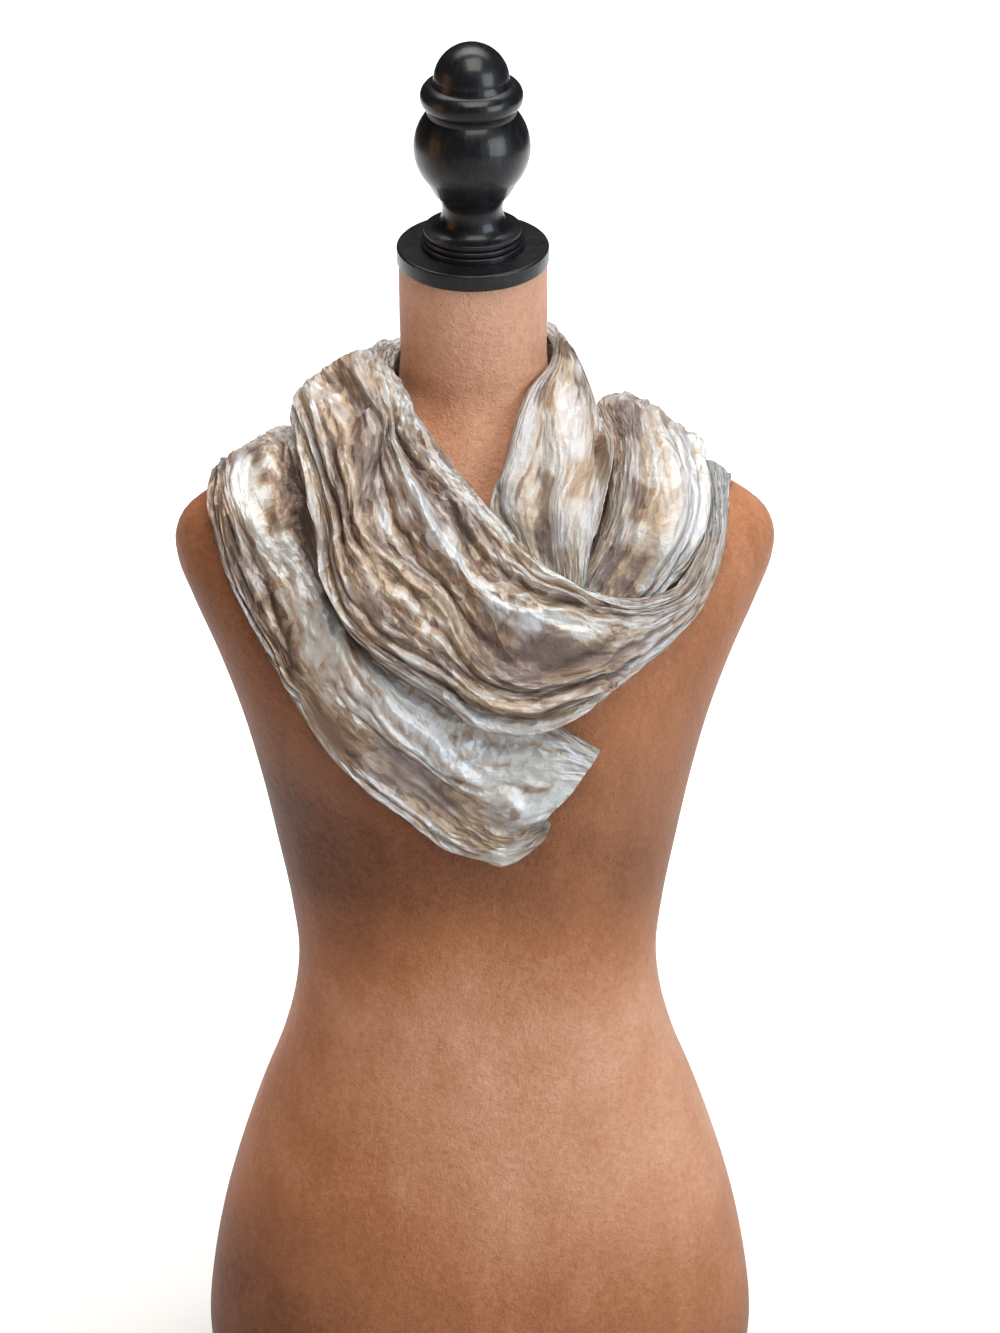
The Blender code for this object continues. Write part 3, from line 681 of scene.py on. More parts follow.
def height_over_form(points):
    """(distance from the form's surface, direction away from it) at each point."""
    half_step = 0.5
    shifts = np.eye(3) * half_step
    rises = [form_level(points + shift) - form_level(points - shift) for shift in shifts]
    slope = np.stack(rises, axis=-1) / (2 * half_step)
    steepness = np.maximum(np.linalg.norm(slope, axis=-1), 1e-6)
    return (form_level(points) - 1) / steepness, slope / steepness[..., None]


def form_points(turn, height):
    """Points of the form's skin at an angle and a height.

    A ring is a superellipse: its x and y are the cosine and sine of the angle, each raised to 2 over
    the squareness.  The neck's rings lean with its axis, and the chest's two mounds stand forward.
    """
    half_width, middle, half_depth, squareness = form_section(height)
    lean = math.tan(NECK_LEAN) * smooth_step(height, NECK_BASE, NECK_TOP)
    cosine = np.sign(np.cos(turn)) * np.abs(np.cos(turn)) ** (2 / squareness)
    sine = np.sign(np.sin(turn)) * np.abs(np.sin(turn)) ** (2 / squareness)
    z = height + lean * half_depth * sine
    for _ in range(3):
        half_width, lifted_middle, half_depth = form_section(z)[:3]
        y = lifted_middle + half_depth * sine
        z = height + lean * (y - middle)
    x = half_width * cosine
    y = y - np.where(sine < 0, np.minimum(bust_reach(x, z), -half_depth * sine), 0)
    return np.stack([x, y, z], axis=-1)


def form_rings():
    """Rings from the middle of the flat base, round its edge, up to the middle of the neck's top."""
    heights = np.linspace(BASE_EDGE, NECK_TOP, round((NECK_TOP - BASE_EDGE) / FORM_RING_STEP) + 1)
    turn = np.arange(FORM_SIDES) * 2 * math.pi / FORM_SIDES
    rings = [form_points(turn, np.full(FORM_SIDES, height)) for height in heights]
    lowest = rings[0]
    inwards = -unit(lowest - lowest.mean(axis=0))
    for turned in np.radians((22.5, 45, 67.5, 90)):
        ring = lowest + inwards * BASE_EDGE * (1 - math.cos(turned))
        ring[:, 2] = BASE_EDGE * (1 - math.sin(turned))
        rings.insert(0, ring)
    return np.array(rings)


# --- Turned cap and finial ---


def arc(middle_radius, middle_height, radius, half_height, start, end, steps):
    """Points of an elliptical arc of a turned profile, from one angle to another in degrees."""
    angles = np.radians(np.linspace(start, end, steps + 1))
    radii = middle_radius + radius * np.cos(angles)
    heights = middle_height + half_height * np.sin(angles)
    return list(zip(radii.tolist(), heights.tolist()))


def plate_profile():
    """A flat disc with softened edges, from its top down to its foot."""
    edge = PLATE_EDGE
    side = PLATE_RADIUS - edge
    return (
        arc(side, PLATE_THICKNESS - edge, edge, edge, 90, 0, 8)
        + arc(side, edge, edge, edge, 0, -90, 8)
    )


def finial_profile():
    """Dome, ring, ball, waist, flared foot and three thin steps, from the top down."""
    return (
        arc(0, 116, 25, 25.5, 88, 4, 24)
        + arc(24.6, 105.5, 9.2, 9.4, 78, -52, 22)
        + arc(0, 70, 38.4, 37, 40, -38, 30)
        + arc(30.8, 26, 10.8, 14, 122, 252, 26)
        + arc(31.6, 11.6, 0.8, 0.7, 90, 0, 4)
        + arc(31.9, 8.9, 0.5, 0.5, 0, -90, 3)
        + [(30.8, 8.2)]
        + arc(32.6, 7.0, 0.8, 0.8, 90, 0, 4)
        + arc(32.8, 5.0, 0.6, 0.6, 0, -90, 3)
        + [(31.6, 4.3)]
        + arc(33.6, 2.9, 0.8, 0.8, 90, 0, 4)
        + [(34.4, 0)]
    )


def turned_rings(profile, height):
    """A profile of (radius, height) pairs turned round the neck's leaning axis, from its foot up."""
    radius, up = np.array(profile[::-1]).T
    turn = np.arange(TURNED_SIDES) * 2 * math.pi / TURNED_SIDES
    x = radius[:, None] * np.cos(turn)
    y = radius[:, None] * np.sin(turn)
    z = (up + height)[:, None] + 0 * turn
    middle = form_section(np.array(float(NECK_TOP)))[1]
    cosine, sine = math.cos(NECK_LEAN), math.sin(NECK_LEAN)
    return np.stack([x, middle + y * cosine - z * sine, NECK_TOP + y * sine + z * cosine], axis=-1)


# --- Cloth ---


def bearing(points):
    """Direction in which each point is seen from the core, in cells round it and up."""
    x, y, z = np.moveaxis(points - np.array(LAYER_CORE), -1, 0)
    around = (np.arctan2(y, x) + math.pi) / LAYER_CELL
    up = (np.arctan2(z, np.hypot(x, y)) + math.pi / 2) / LAYER_CELL
    return around, up


def new_pile():
    """Heights over the form, one for each direction, of what lies on it: nothing yet."""
    return np.zeros((round(2 * math.pi / LAYER_CELL) + 1, round(math.pi / LAYER_CELL) + 1))


def soften(pile, reach=2):
    """The pile widened by some cells and then blurred, so that what lies on it bends gently."""
    for axis in (0, 1) * reach:
        pile = np.maximum(pile, np.maximum(np.roll(pile, 1, axis), np.roll(pile, -1, axis)))
    for axis in (0, 1) * reach:
        pile = (2 * pile + np.roll(pile, 1, axis) + np.roll(pile, -1, axis)) / 4
    return pile


def pile_under(points, pile):
    """The softened pile's height in each point's direction, blended between the four nearest cells."""
    around, up = (place - 0.5 for place in bearing(points))
    first_a, first_u = np.floor(around).astype(int), np.floor(up).astype(int)
    a, u = around - first_a, up - first_u
    rows, columns = pile.shape

    def at(step_a, step_u):
        return pile[np.mod(first_a + step_a, rows - 1), np.clip(first_u + step_u, 0, columns - 1)]

    low = at(0, 0) * (1 - a) + at(1, 0) * a
    high = at(0, 1) * (1 - a) + at(1, 1) * a
    return low * (1 - u) + high * u


def lift_clear(points, pile, rests, rounds=3):
    """Moves points away from the form until their inner side clears it, and the layers under them."""
    for _ in range(rounds):
        height, away = height_over_form(points)
        below = pile_under(points, pile)
        below = (below + LAYER_CLEARANCE * smooth_step(below, 0, LAYER_FULL)) * rests
        lack = np.maximum(CLOTH_WALL + CLOTH_CLEARANCE + below - height, 0)
        points = points + away * lack[..., None]
    return points


def turn_rows(turn):
    """Rows of a whole turn, each shared end row once, and the row number where each stretch starts."""
    rows = [turn["stretches"][0][1][0]]
    starts = [0]
    for _, stretch, _ in turn["stretches"]:
        rows += stretch[1:]
        starts.append(len(rows) - 1)
    return table(STRETCH_COLUMNS, rows), starts


def edge_lines(row, at, knots):
    """The two edges and the crown along the turn, each a smooth curve through its rows."""
    column = {name: smooth(at, knots, values) for name, values in row.items()}
    inner, outer = (
        np.stack([column[edge + axis] for axis in "xyz"], axis=-1) for edge in ("inner_", "outer_")
    )
    return inner, outer, column["crown"]


def face_directions(points, away):
    """Unit direction square to the surface at each grid point, on the side that away names."""
    direction = unit(np.cross(np.gradient(points, axis=0), np.gradient(points, axis=1)))
    return direction * np.sign((direction * away).sum(axis=-1).mean())


def shaped_end(points, travel, even, turn):
    """(grid, travel of each point) with the first lines moved along to the outline of the free end.

    A line's place along the turn grows by how far the outline is drawn back there, which fades with
    the distance from the end, and the grid is blended between its two nearest lines.
    """
    end = table(END_COLUMNS, turn["free_end"])
    drawn = smooth(even, end["across"], end["drawn_back"])
    place = travel[:, None] + drawn * (1 - smooth_step(travel[:, None], 0, END_REACH))
    line = np.interp(place, travel, np.arange(len(travel)))
    low = np.minimum(np.floor(line).astype(int), len(travel) - 2)
    column = np.arange(COLUMNS + 1)[None, :]
    part = (line - low)[..., None]
    return points[low, column] * (1 - part) + points[low + 1, column] * part, place


def arched_turn(turn):
    """Smooth face of one whole turn before its creases.

    Across it, a squared half ellipse stands on the line between the two edges, and the lines of the
    grid wander a little along the scarf.  Gives the points, the way out of them, their travel, their
    share of the width, and the grid line and the travel at which each stretch starts.
    """
    row, starts = turn_rows(turn)
    numbers = np.arange(starts[-1] + 1.0)
    inner, outer = edge_lines(row, numbers, numbers)[:2]
    steps = np.linalg.norm(np.diff((inner + outer) / 2, axis=0), axis=1)
    knots = np.concatenate([[0], np.cumsum(steps)])
    lengths = np.diff(knots[starts])
    spacings = [spacing for _, _, spacing in turn["stretches"]]
    cuts = np.cumsum([0] + [round(length / step) for length, step in zip(lengths, spacings)])
    travel = np.interp(np.arange(cuts[-1] + 1), cuts, knots[starts])
    inner, outer, crown = edge_lines(row, travel, knots)
    even = np.linspace(0, 1, COLUMNS + 1)[None, :]
    rim = np.sin(math.pi * even)
    across = even + rim * sum(
        size * np.sin(2 * math.pi * (repeats * even + travel[:, None] / length) + start)
        for size, repeats, length, start in SWAYS
    )
    turned = math.pi * across
    reach = (1 - np.sign(np.cos(turned)) * np.abs(np.cos(turned)) ** (2 / ARCH_SQUARENESS)) / 2
    rise = np.abs(np.sin(turned)) ** (2 / ARCH_SQUARENESS)
    chord = outer - inner
    up = unit(np.cross(np.gradient(inner + outer, axis=0), chord))
    _, away = height_over_form(inner + chord / 2 + up * crown[:, None])
    up *= np.sign((up * away).sum(axis=-1, keepdims=True))
    points = inner[:, None] + chord[:, None] * reach[..., None]
    points += up[:, None] * (crown[:, None] * rise)[..., None]
    points, place = shaped_end(points, travel, even, turn)
    return points, away[:, None], place, even, cuts, knots[starts]


def off_path(travel, even, width, row):
    """(distance to a parabola through three points, side of it, share of it passed) at each point.

    Its point at a share s is (1 - s)(1 - 2s) of the first, 4s(1 - s) of the middle and s(2s - 1) of
    the last one, and it is followed in straight steps.
    """
    share = np.linspace(0, 1, PATH_POINTS)
    path_s, path_t = (
        (1 - share) * (1 - 2 * share) * row[axis + "0"]
        + 4 * share * (1 - share) * row[axis + "1"]
        + share * (2 * share - 1) * row[axis + "2"]
        for axis in "uv"
    )
    shape = np.broadcast(travel, even, width).shape
    nearest, side, place = np.full(shape, np.inf), np.zeros(shape), np.zeros(shape)
    for k in range(len(share) - 1):
        step_s = path_s[k + 1] - path_s[k]
        step_t = (path_t[k + 1] - path_t[k]) * width
        off_s = travel - path_s[k]
        off_t = (even - path_t[k]) * width
        t = np.clip((off_s * step_s + off_t * step_t) / (step_s**2 + step_t**2), 0, 1)
        away = np.hypot(off_s - t * step_s, off_t - t * step_t)
        closer = away < nearest
        nearest = np.where(closer, away, nearest)
        side = np.where(closer, np.sign(off_t * step_s - off_s * step_t) * np.sign(step_s), side)
        place = np.where(closer, (k + t) / (len(share) - 1), place)
    return nearest, side, place


def fanned(fan, seed):
    """The creases of a fan: their places even between its edges but for a little chance."""
    chance = np.random.default_rng(seed)
    rows = []
    for number in range(fan["count"]):
        share = (number + chance.uniform(*PLEAT_PLACE)) / fan["count"]
        reach = chance.uniform(*PLEAT_SHORTER)
        row = {"height": fan["height"] * chance.uniform(*PLEAT_HEIGHT) * (-1) ** number}
        row |= {"half_width": fan["half_width"], "power": PLEAT_POWER, "steep": 0}
        for place in "012":
            row["u" + place] = fan["u" + place]
            row["v" + place] = fan["v" + place] + share * (fan["w" + place] - fan["v" + place])
        shorter = (fan["u2"] - fan["u0"]) * reach
        row["u0"] += shorter * chance.uniform(-1, 1)
        row["u2"] += shorter * chance.uniform(-1, 1)
        rows.append(row)
    return rows


def crease_height(travel, even, width, creases):
    """(sum of the creases, sum of the thin ones alone as ridges of 1 and grooves of -1).

    A crease's height falls off with the distance from its line as the exponential of minus
    (distance / half width) to its power, and fades at both ends.  The lines are kinked a little.
    """
    across = even * width
    reach, size_along, size_across, number = KINKS
    kinks = reach * facet_noise(travel / size_along, across / size_across, number)
    kinks = wandering(kinks, travel, across, BENDS, 0)
    kinked = even + kinks / width
    total = np.zeros(kinked.shape)
    lines = np.zeros(kinked.shape)
    for crease in creases:
        nearest, side, place = off_path(travel, kinked, width, crease)
        half_width = crease["half_width"] * (1 + crease["steep"] * side)
        shape = fade_ends(place) * np.exp(-((nearest / half_width) ** crease["power"]))
        total += crease["height"] * shape
        if crease["half_width"] < THIN:
            lines += np.sign(crease["height"]) * shape
    return total, lines


def band_tones(travel, even, width, nominal, bands, seed):
    """Sum of the bands' tones, painted shade and highlights among them, at each point; their edges
    wander, and are ragged along the cloth.
    """
    ragged = wandering(0, travel, even * nominal, RAGGED, seed)
    total = np.zeros(np.broadcast(travel, even).shape)
    for band in bands:
        nearest, _, place = off_path(travel, even, width, band)
        low, high = (edge * band["half_width"] for edge in BAND_EDGE)
        inside = 1 - smooth_step(nearest + ragged, low, high)
        total = total + band["tone"] * inside * fade_ends(place)
    return total


def crinkle_height(travel, even, nominal, seed):
    """Sum of several sizes of crinkle on a map that wanders, each drawn out along the cloth."""
    along = travel + 0 * even
    across = even * nominal + 0 * travel
    along, across = (
        wandering(along, along, across, WANDERS_ALONG, seed),
        wandering(across, along, across, WANDERS_ACROSS, seed),
    )
    total = 0
    for number, row in enumerate(CRINKLES):
        crinkle = dict(zip(CRINKLE_COLUMNS, row))
        turned = math.radians(crinkle["turned"])
        s = (along * math.cos(turned) + across * math.sin(turned)) / crinkle["along"]
        t = (across * math.cos(turned) - along * math.sin(turned)) / crinkle["across"]
        if crinkle["crests"]:
            slope = np.abs(slope_noise(s, t, seed + number)) * CREST_NARROWING
            folded = (1 - np.minimum(slope, 1)) ** CREST_POWER
        else:
            folded = 0.5 + 0.5 * facet_noise(s, t, seed + number)
        total = total + crinkle["height"] * folded
    return total


def turn_calm(turn, travel, even, starts):
    """How calm each point is: the most that a calm place near it makes it.

    A calm place falls off as the exponential of minus the cube of the distance from its middle, in
    reaches along and across.
    """
    calm = np.zeros(np.broadcast(travel, even).shape)
    for (name, _, _), low, high in zip(turn["stretches"], starts, starts[1:]):
        for row in CALMS[name]:
            patch = dict(zip(CALM_COLUMNS, row))
            along, across, reach_along, reach_across = (
                patch[key] / HUNDRED for key in CALM_COLUMNS[:-1]
            )
            off_u = ((travel - low) / (high - low) - along) / reach_along
            off_v = (even - across) / reach_across
            calm = np.maximum(calm, patch["calm"] * np.exp(-((off_u**2 + off_v**2) ** 1.5)))
    return calm


def along_turn(turn, starts, columns, rows):
    """Rows of all of a turn's stretches by column name, with their places as travel and shares."""
    made = []
    for (name, _, _), low, high in zip(turn["stretches"], starts, starts[1:]):
        for row in rows[name]:
            line = dict(zip(columns, row))
            for key, value in line.items():
                if key in ALONG:
                    line[key] = low + value / HUNDRED * (high - low)
                elif key in ACROSS:
                    line[key] = value / HUNDRED
            made.append(line)
    return made


def turn_heights(turn, points, travel, even, starts, seed):
    """(height raised over the smooth face, crinkles alone, tone with painted light and shade, calm)
    of a turn.
    """
    width = np.linalg.norm(np.diff(points, axis=1), axis=-1).sum(axis=1)[:, None]
    nominal = turn["width"]
    calm = turn_calm(turn, travel, even, starts)
    fullness = smooth_step(width / nominal, *GATHERED)
    crinkle = crinkle_height(travel, even, nominal, seed) * (1 - calm) * fullness
    creases = along_turn(turn, starts, CREASE_COLUMNS, CREASES)
    for number, fan in enumerate(along_turn(turn, starts, FAN_COLUMNS, FANS)):
        creases += fanned(fan, seed + FAN_SEED + number)
    folded, lines = crease_height(travel, even, width, creases)
    # The bands bring painted shade along grooves and hollows and painted highlights along ridges.
    bands = along_turn(turn, starts, TONE_COLUMNS, TONE_AND_PAINTED_LIGHT_BANDS)
    middles = (starts[1:] + starts[:-1]) / 2
    tone = np.interp(travel, middles, [STRETCH_TONES[name] for name, _, _ in turn["stretches"]])
    tone = tone + band_tones(travel, even, width, nominal, bands, seed)
    rim = smooth_step(np.minimum(even, 1 - even) * width, 0, RIM)
    raised = PUFF + crinkle * (RIM_CRINKLE + (1 - RIM_CRINKLE) * rim) + folded * rim * fullness
    # Thin ridges painted lighter and thin grooves darker: painted highlight and painted shade.
    tone = tone - np.where(lines > 0, PAINTED_RIDGE_HIGHLIGHT, PAINTED_GROOVE_SHADE) * lines * rim * (1 - calm)
    # Cloth leaning up towards its inner edge is painted lighter: painted light from above.
    lean = np.gradient(raised, axis=1) / np.gradient(even * width, axis=1)
    return raised, crinkle, tone - PAINTED_LEAN_LIGHT * np.tanh(lean / FULL_LEAN), calm


def cut_stretches():
    """The stretches of both turns before they are laid, by name.

    Each has a few of its neighbours' lines as well; "own" says which lines are its own.
    """
    made = {}
    for turn, seed in zip((FIRST_TURN, SECOND_TURN), TURN_SEEDS):
        points, away, travel, even, cuts, starts = arched_turn(turn)
        raised, crinkle, tone, calm = turn_heights(turn, points, travel, even, starts, seed)
        for index, (name, _, _) in enumerate(turn["stretches"]):
            first, last = cuts[index], cuts[index + 1] + 1
            low, high = max(first - OVERLAP, 0), min(last + OVERLAP, len(points))
            share = (travel[low:high] - starts[index]) / (starts[index + 1] - starts[index])
            made[name] = {
                "smooth": points[low:high],
                "away": away[low:high],
                "share": share,
                "raised": raised[low:high],
                "own": slice(first - low, last - low),
                "fields": {
                    "travel": travel[first:last] + 0 * even,
                    "across": even * turn["width"] + 0 * travel[first:last],
                    "crinkle": crinkle[first:last],
                    "tone": tone[first:last],
                    "calm": calm[first:last],
                },
            }
    return made


def lay_scarf():
    """Every stretch laid on what is under it: its outer face, the way out of it, and its fields.

    Neighbours' lines are dropped only at the end, so that two stretches meet in the same line with
    the same slope.
    """
    made = cut_stretches()
    for name, layers in LIES_ON.items():
        piece = made[name]
        pile = new_pile()
        for layer in layers:
            grid = made[layer]["face"]
            cells = tuple(np.floor(place).astype(int) for place in bearing(grid))
            np.maximum.at(pile, cells, height_over_form(grid)[0])
        pile = soften(pile)
        rests = smooth_step(piece["share"], *RESTS_FROM.get(name, RESTS_ALL_ALONG))
        laid = lift_clear(piece["smooth"], pile, rests)
        out = face_directions(laid, piece["away"])
        laid = lift_clear(laid + out * piece["raised"][..., None], pile, rests)
        piece["face"] = laid[piece["own"]]
        piece["out"] = out[piece["own"]]
    return made


# --- Meshes ---


def placed(name, data):
    """An object with this data, put into the scene."""
    made = bpy.data.objects.new(name, data)
    bpy.context.scene.collection.objects.link(made)
    return made


def make_piece(name, node, slot, points, quads, triangles, material, sharp):
    """A mesh object at the origin, from points in millimetres, shaded smooth below the sharp angle."""
    mesh = bpy.data.meshes.new(name)
    corners = np.concatenate([quads.ravel(), triangles.ravel()]).astype(np.int32)
    starts = np.concatenate(
        [np.arange(len(quads)) * 4, quads.size + np.arange(len(triangles)) * 3]
    ).astype(np.int32)
    mesh.vertices.add(len(points))
    mesh.vertices.foreach_set("co", (points * MM).astype(np.float32).ravel())
    mesh.loops.add(len(corners))
    mesh.loops.foreach_set("vertex_index", corners)
    mesh.polygons.add(len(starts))
    mesh.polygons.foreach_set("loop_start", starts)
    mesh.update(calc_edges=True)
    mesh.shade_smooth()
    mesh.set_sharp_from_angle(angle=math.radians(sharp))
    mesh.materials.append(material)
    piece = placed(name, mesh)
    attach(piece, "root")
    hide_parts(node)
    return piece


def closed_tube(rings):
    """Points, quads and triangles of a tube of rings from the bottom up, closed by a fan each end."""
    count, sides = rings.shape[:2]
    number = np.arange(count * sides).reshape(count, sides)
    closed = np.concatenate([number, number[:, :1]], axis=1)
    foot, top = count * sides, count * sides + 1
    middles = [rings[0].mean(axis=0), rings[-1].mean(axis=0)]
    points = np.concatenate([rings.reshape(-1, 3), middles])
    below, above = closed[0], closed[-1]
    fans = [
        np.stack([below[1:], below[:-1], np.full(sides, foot)], axis=-1),
        np.stack([above[:-1], above[1:], np.full(sides, top)], axis=-1),
    ]
    return points, strip(closed)[:, ::-1], np.concatenate(fans)


def cloth_wall(face, under):
    """Points and quads of a closed wall between two faces: both of them and their four edges."""
    rows, columns = face.shape[:2]
    outer = np.arange(rows * columns).reshape(rows, columns)
    inner = outer + rows * columns
    quads = [
        strip(outer),
        strip(inner)[:, ::-1],
        strip(np.stack([inner[:, 0], outer[:, 0]], axis=1)),
        strip(np.stack([outer[:, -1], inner[:, -1]], axis=1)),
        strip(np.stack([inner[0], outer[0]], axis=0)),
        strip(np.stack([outer[-1], inner[-1]], axis=0)),
    ]
    return np.concatenate([face.reshape(-1, 3), under.reshape(-1, 3)]), np.concatenate(quads)


def make_cloth(name, made, material):
    """One stretch of the scarf: a closed thin wall with its own map and the fields its satin reads."""
    fields = made["fields"]
    points, quads = cloth_wall(made["face"], made["face"] - made["out"] * CLOTH_WALL)
    none = np.empty((0, 3), int)
    piece = make_piece(name + "_cloth", name, "satin", points, quads, none, material, CLOTH_SHARP)
    mesh = piece.data
    corners = np.empty(len(mesh.loops), np.int32)
    mesh.loops.foreach_get("vertex_index", corners)
    place = np.stack([fields["travel"], fields["across"]], axis=-1).reshape(-1, 2) * MM
    place = np.concatenate([place, place])
    layer = mesh.uv_layers.new(name="cloth")
    layer.data.foreach_set("uv", place[corners].astype(np.float32).ravel())
    # The satin paints crests lighter, and the tone carries painted light and shade.
    crest = np.clip(fields["crinkle"] / CREST_FULL, 0, 1)
    for title, values in (("crest", crest), ("tone", fields["tone"]), ("calm", fields["calm"])):
        attribute = mesh.attributes.new(title, "FLOAT", "POINT")
        attribute.data.foreach_set("value", np.tile(values.ravel(), 2).astype(np.float32))
    return piece


# --- Materials ---


# Colours of the satin from its lightest tone to its darkest: place, in tan, in mauve.  The lightest
# and darkest also show the painted highlights and painted shade that the tone carries.
SATIN_COLOURS = (
    (0.00, (0.610, 0.620, 0.610), (0.610, 0.635, 0.660)),
    (0.20, (0.570, 0.550, 0.525), (0.550, 0.550, 0.570)),
    (0.36, (0.485, 0.415, 0.350), (0.450, 0.410, 0.395)),
    (0.50, (0.410, 0.312, 0.225), (0.360, 0.305, 0.280)),
    (0.60, (0.360, 0.264, 0.184), (0.290, 0.235, 0.215)),
    (0.70, (0.245, 0.174, 0.134), (0.225, 0.172, 0.158)),
    (0.88, (0.185, 0.130, 0.104), (0.175, 0.132, 0.120)),
    (1.00, (0.110, 0.076, 0.060), (0.105, 0.078, 0.068)),
)


class Finish:
    """A material with one Principled shader, and short ways to add and join its nodes."""

    def __init__(self, name):
        self.material = bpy.data.materials.new(name)
        self.material.use_nodes = True
        self.tree = self.material.node_tree
        self.shader = self.tree.nodes["Principled BSDF"]

    def constant(self, **values):
        """Sets the shader's inputs of these names, with _ for a space, to plain values."""
        for name, value in values.items():
            self.shader.inputs[name.replace("_", " ")].default_value = value

    def node(self, kind, inputs=None, **settings):
        """A new node of a kind, with its inputs fed and its settings set."""
        made = self.tree.nodes.new(kind)
        for name, value in settings.items():
            setattr(made, name, value)
        for key, value in (inputs or {}).items():
            self.feed(made.inputs[key], value)
        return made

    def feed(self, socket, value):
        """Links another node's output to the socket, or sets the socket to a plain value."""
        if isinstance(value, bpy.types.NodeSocket):
            self.tree.links.new(value, socket)
        else:
            socket.default_value = value

    def place(self):
        """Coordinates in metres on the object."""
        return self.node("ShaderNodeTexCoord").outputs["Object"]

    def result(self, operation, *values):
        """What an operation makes of the values."""
        return self.node("ShaderNodeMath", dict(enumerate(values)), operation=operation).outputs[0]

    def noise(self, where, scale, stretch=(1, 1, 1), detail=3, roughness=0.55, distortion=0.0):
        """Noise of a scale in repeats a metre, on coordinates stretched along each axis."""
        mapped = self.node("ShaderNodeMapping", {"Vector": where, "Scale": stretch})
        made = self.node(
            "ShaderNodeTexNoise",
            {
                "Vector": mapped.outputs["Vector"],
                "Scale": scale,
                "Detail": detail,
                "Roughness": roughness,
                "Distortion": distortion,
            },
        )
        return made.outputs["Fac"]

    def spread(self, value, low, high, to_low=0.0, to_high=1.0):
        """The value's range from low to high carried to another range, and held at its ends."""
        made = self.node(
            "ShaderNodeMapRange",
            {"Value": value, "From Min": low, "From Max": high, "To Min": to_low, "To Max": to_high},
        )
        return made.outputs["Result"]

    def sum(self, *terms):
        """Sum of (value, factor) pairs."""
        total = None
        for value, factor in terms:
            total = self.result("MULTIPLY_ADD", value, factor, total or 0.0)
        return total

    def product(self, first, second):
        """The two values multiplied."""
        return self.result("MULTIPLY", first, second)

    def lesser(self, first, second):
        """The smaller of the two values."""
        return self.result("MINIMUM", first, second)

    def cells(self, where, scale, stretch, warp):
        """(distance from the middle, random value) of flat-sided cells on a warped map."""
        bent = self.node("ShaderNodeTexNoise", {"Vector": where, "Scale": scale * 0.8, "Detail": 2.0})
        moved = self.node(
            "ShaderNodeVectorMath",
            {0: bent.outputs["Color"], 1: (warp, warp, 0), 2: where},
            operation="MULTIPLY_ADD",
        )
        mapped = self.node("ShaderNodeMapping", {"Vector": moved.outputs[0], "Scale": stretch})
        made = self.node(
            "ShaderNodeTexVoronoi",
            {"Vector": mapped.outputs["Vector"], "Scale": scale},
            voronoi_dimensions="2D",
            distance="MANHATTAN",
        )
        split = self.node("ShaderNodeSeparateColor", {"Color": made.outputs["Color"]})
        return made.outputs["Distance"], split.outputs[0]

    def mixed(self, share, first, second):
        """Two colours mixed by a share of the second."""
        made = self.node("ShaderNodeMix", data_type="RGBA")
        self.feed(made.inputs["Factor"], share)
        for socket, colour in ((made.inputs[6], first), (made.inputs[7], second)):
            self.feed(socket, colour if isinstance(colour, bpy.types.NodeSocket) else (*colour, 1))
        return made.outputs[2]

    def ramp(self, value, *stops):
        """Colours joined along a value, each stop a (place, colour) pair."""
        made = self.node("ShaderNodeValToRGB", {"Fac": value})
        points = made.color_ramp.elements
        while len(points) < len(stops):
            points.new(1)
        for point, (place, colour) in zip(points, stops):
            point.position = place
            point.color = (*colour, 1)
        return made.outputs["Color"]

    def bump(self, height, distance, under=None):
        """A normal tilted by a height map of this depth in metres, over another normal if given."""
        made = self.node("ShaderNodeBump", {"Height": height, "Distance": distance})
        if under is not None:
            self.feed(made.inputs["Normal"], under)
        return made.outputs["Normal"]

    def join(self, **sockets):
        """Feeds the shader's inputs of these names, and gives the material."""
        for name, value in sockets.items():
            self.feed(self.shader.inputs[name.replace("_", " ")], value)
        return self.material


def suede():
    """Brown suede-like cover with painted light over the hips and up to the neck, and painted
    shade at the base, the waist and the sides.

    Brushed patches and a fine mottled grain lie over that.
    """
    finish = Finish("brown_suede")
    where = finish.place()
    axes = finish.node("ShaderNodeSeparateXYZ", {"Vector": where}).outputs
    across, height = axes["X"], axes["Z"]
    # Painted light and shade by height: lighter over the hips, darker at the base and the waist.
    painted_hip_light_and_shade = finish.lesser(
        finish.spread(height, 0.02, 0.19, -1.0, 0.9), finish.spread(height, 0.29, 0.39, 1.0, -1.0)
    )
    # Painted shade down both sides, deeper on the left.
    sides = finish.lesser(
        finish.spread(across, -0.18, 0.0, -1.2, 0.0), finish.spread(across, 0.10, 0.20, 0.0, -0.3)
    )
    # Painted light growing up the chest to the neck.
    painted_upper_light = finish.spread(height, 0.42, 0.80, 0.0, 2.6)
    painted_light_and_shade = finish.sum((painted_hip_light_and_shade, 1.0), (sides, 1.0), (painted_upper_light, 1.0))
    patches = finish.noise(where, 6, detail=4, roughness=0.6, distortion=0.8)
    strokes = finish.noise(where, 26, stretch=(1, 1, 0.45), detail=4, roughness=0.6, distortion=0.4)
    mottle = finish.noise(where, 210, detail=4, roughness=0.75)
    grain = finish.noise(where, 800, detail=2)
    tone = finish.sum((patches, 0.50), (strokes, 0.32), (mottle, 0.44), (grain, 0.18), (painted_light_and_shade, 0.24))
    colour = finish.ramp(
        finish.spread(tone, 0.24, 1.12),
        (0.00, (0.10, 0.027, 0.006)),
        (0.50, (0.385, 0.145, 0.057)),
        (0.75, (0.54, 0.255, 0.145)),
        (1.00, (0.70, 0.390, 0.260)),
    )
    finish.constant(Specular_IOR_Level=0.35, Sheen_Weight=0.03, Sheen_Roughness=0.45)
    rough = finish.spread(mottle, 0.3, 0.7, 0.45, 0.60)
    nap = finish.bump(grain, 0.0006, finish.bump(mottle, 0.0020))
    return finish.join(Base_Color=colour, Roughness=rough, Normal=nap)


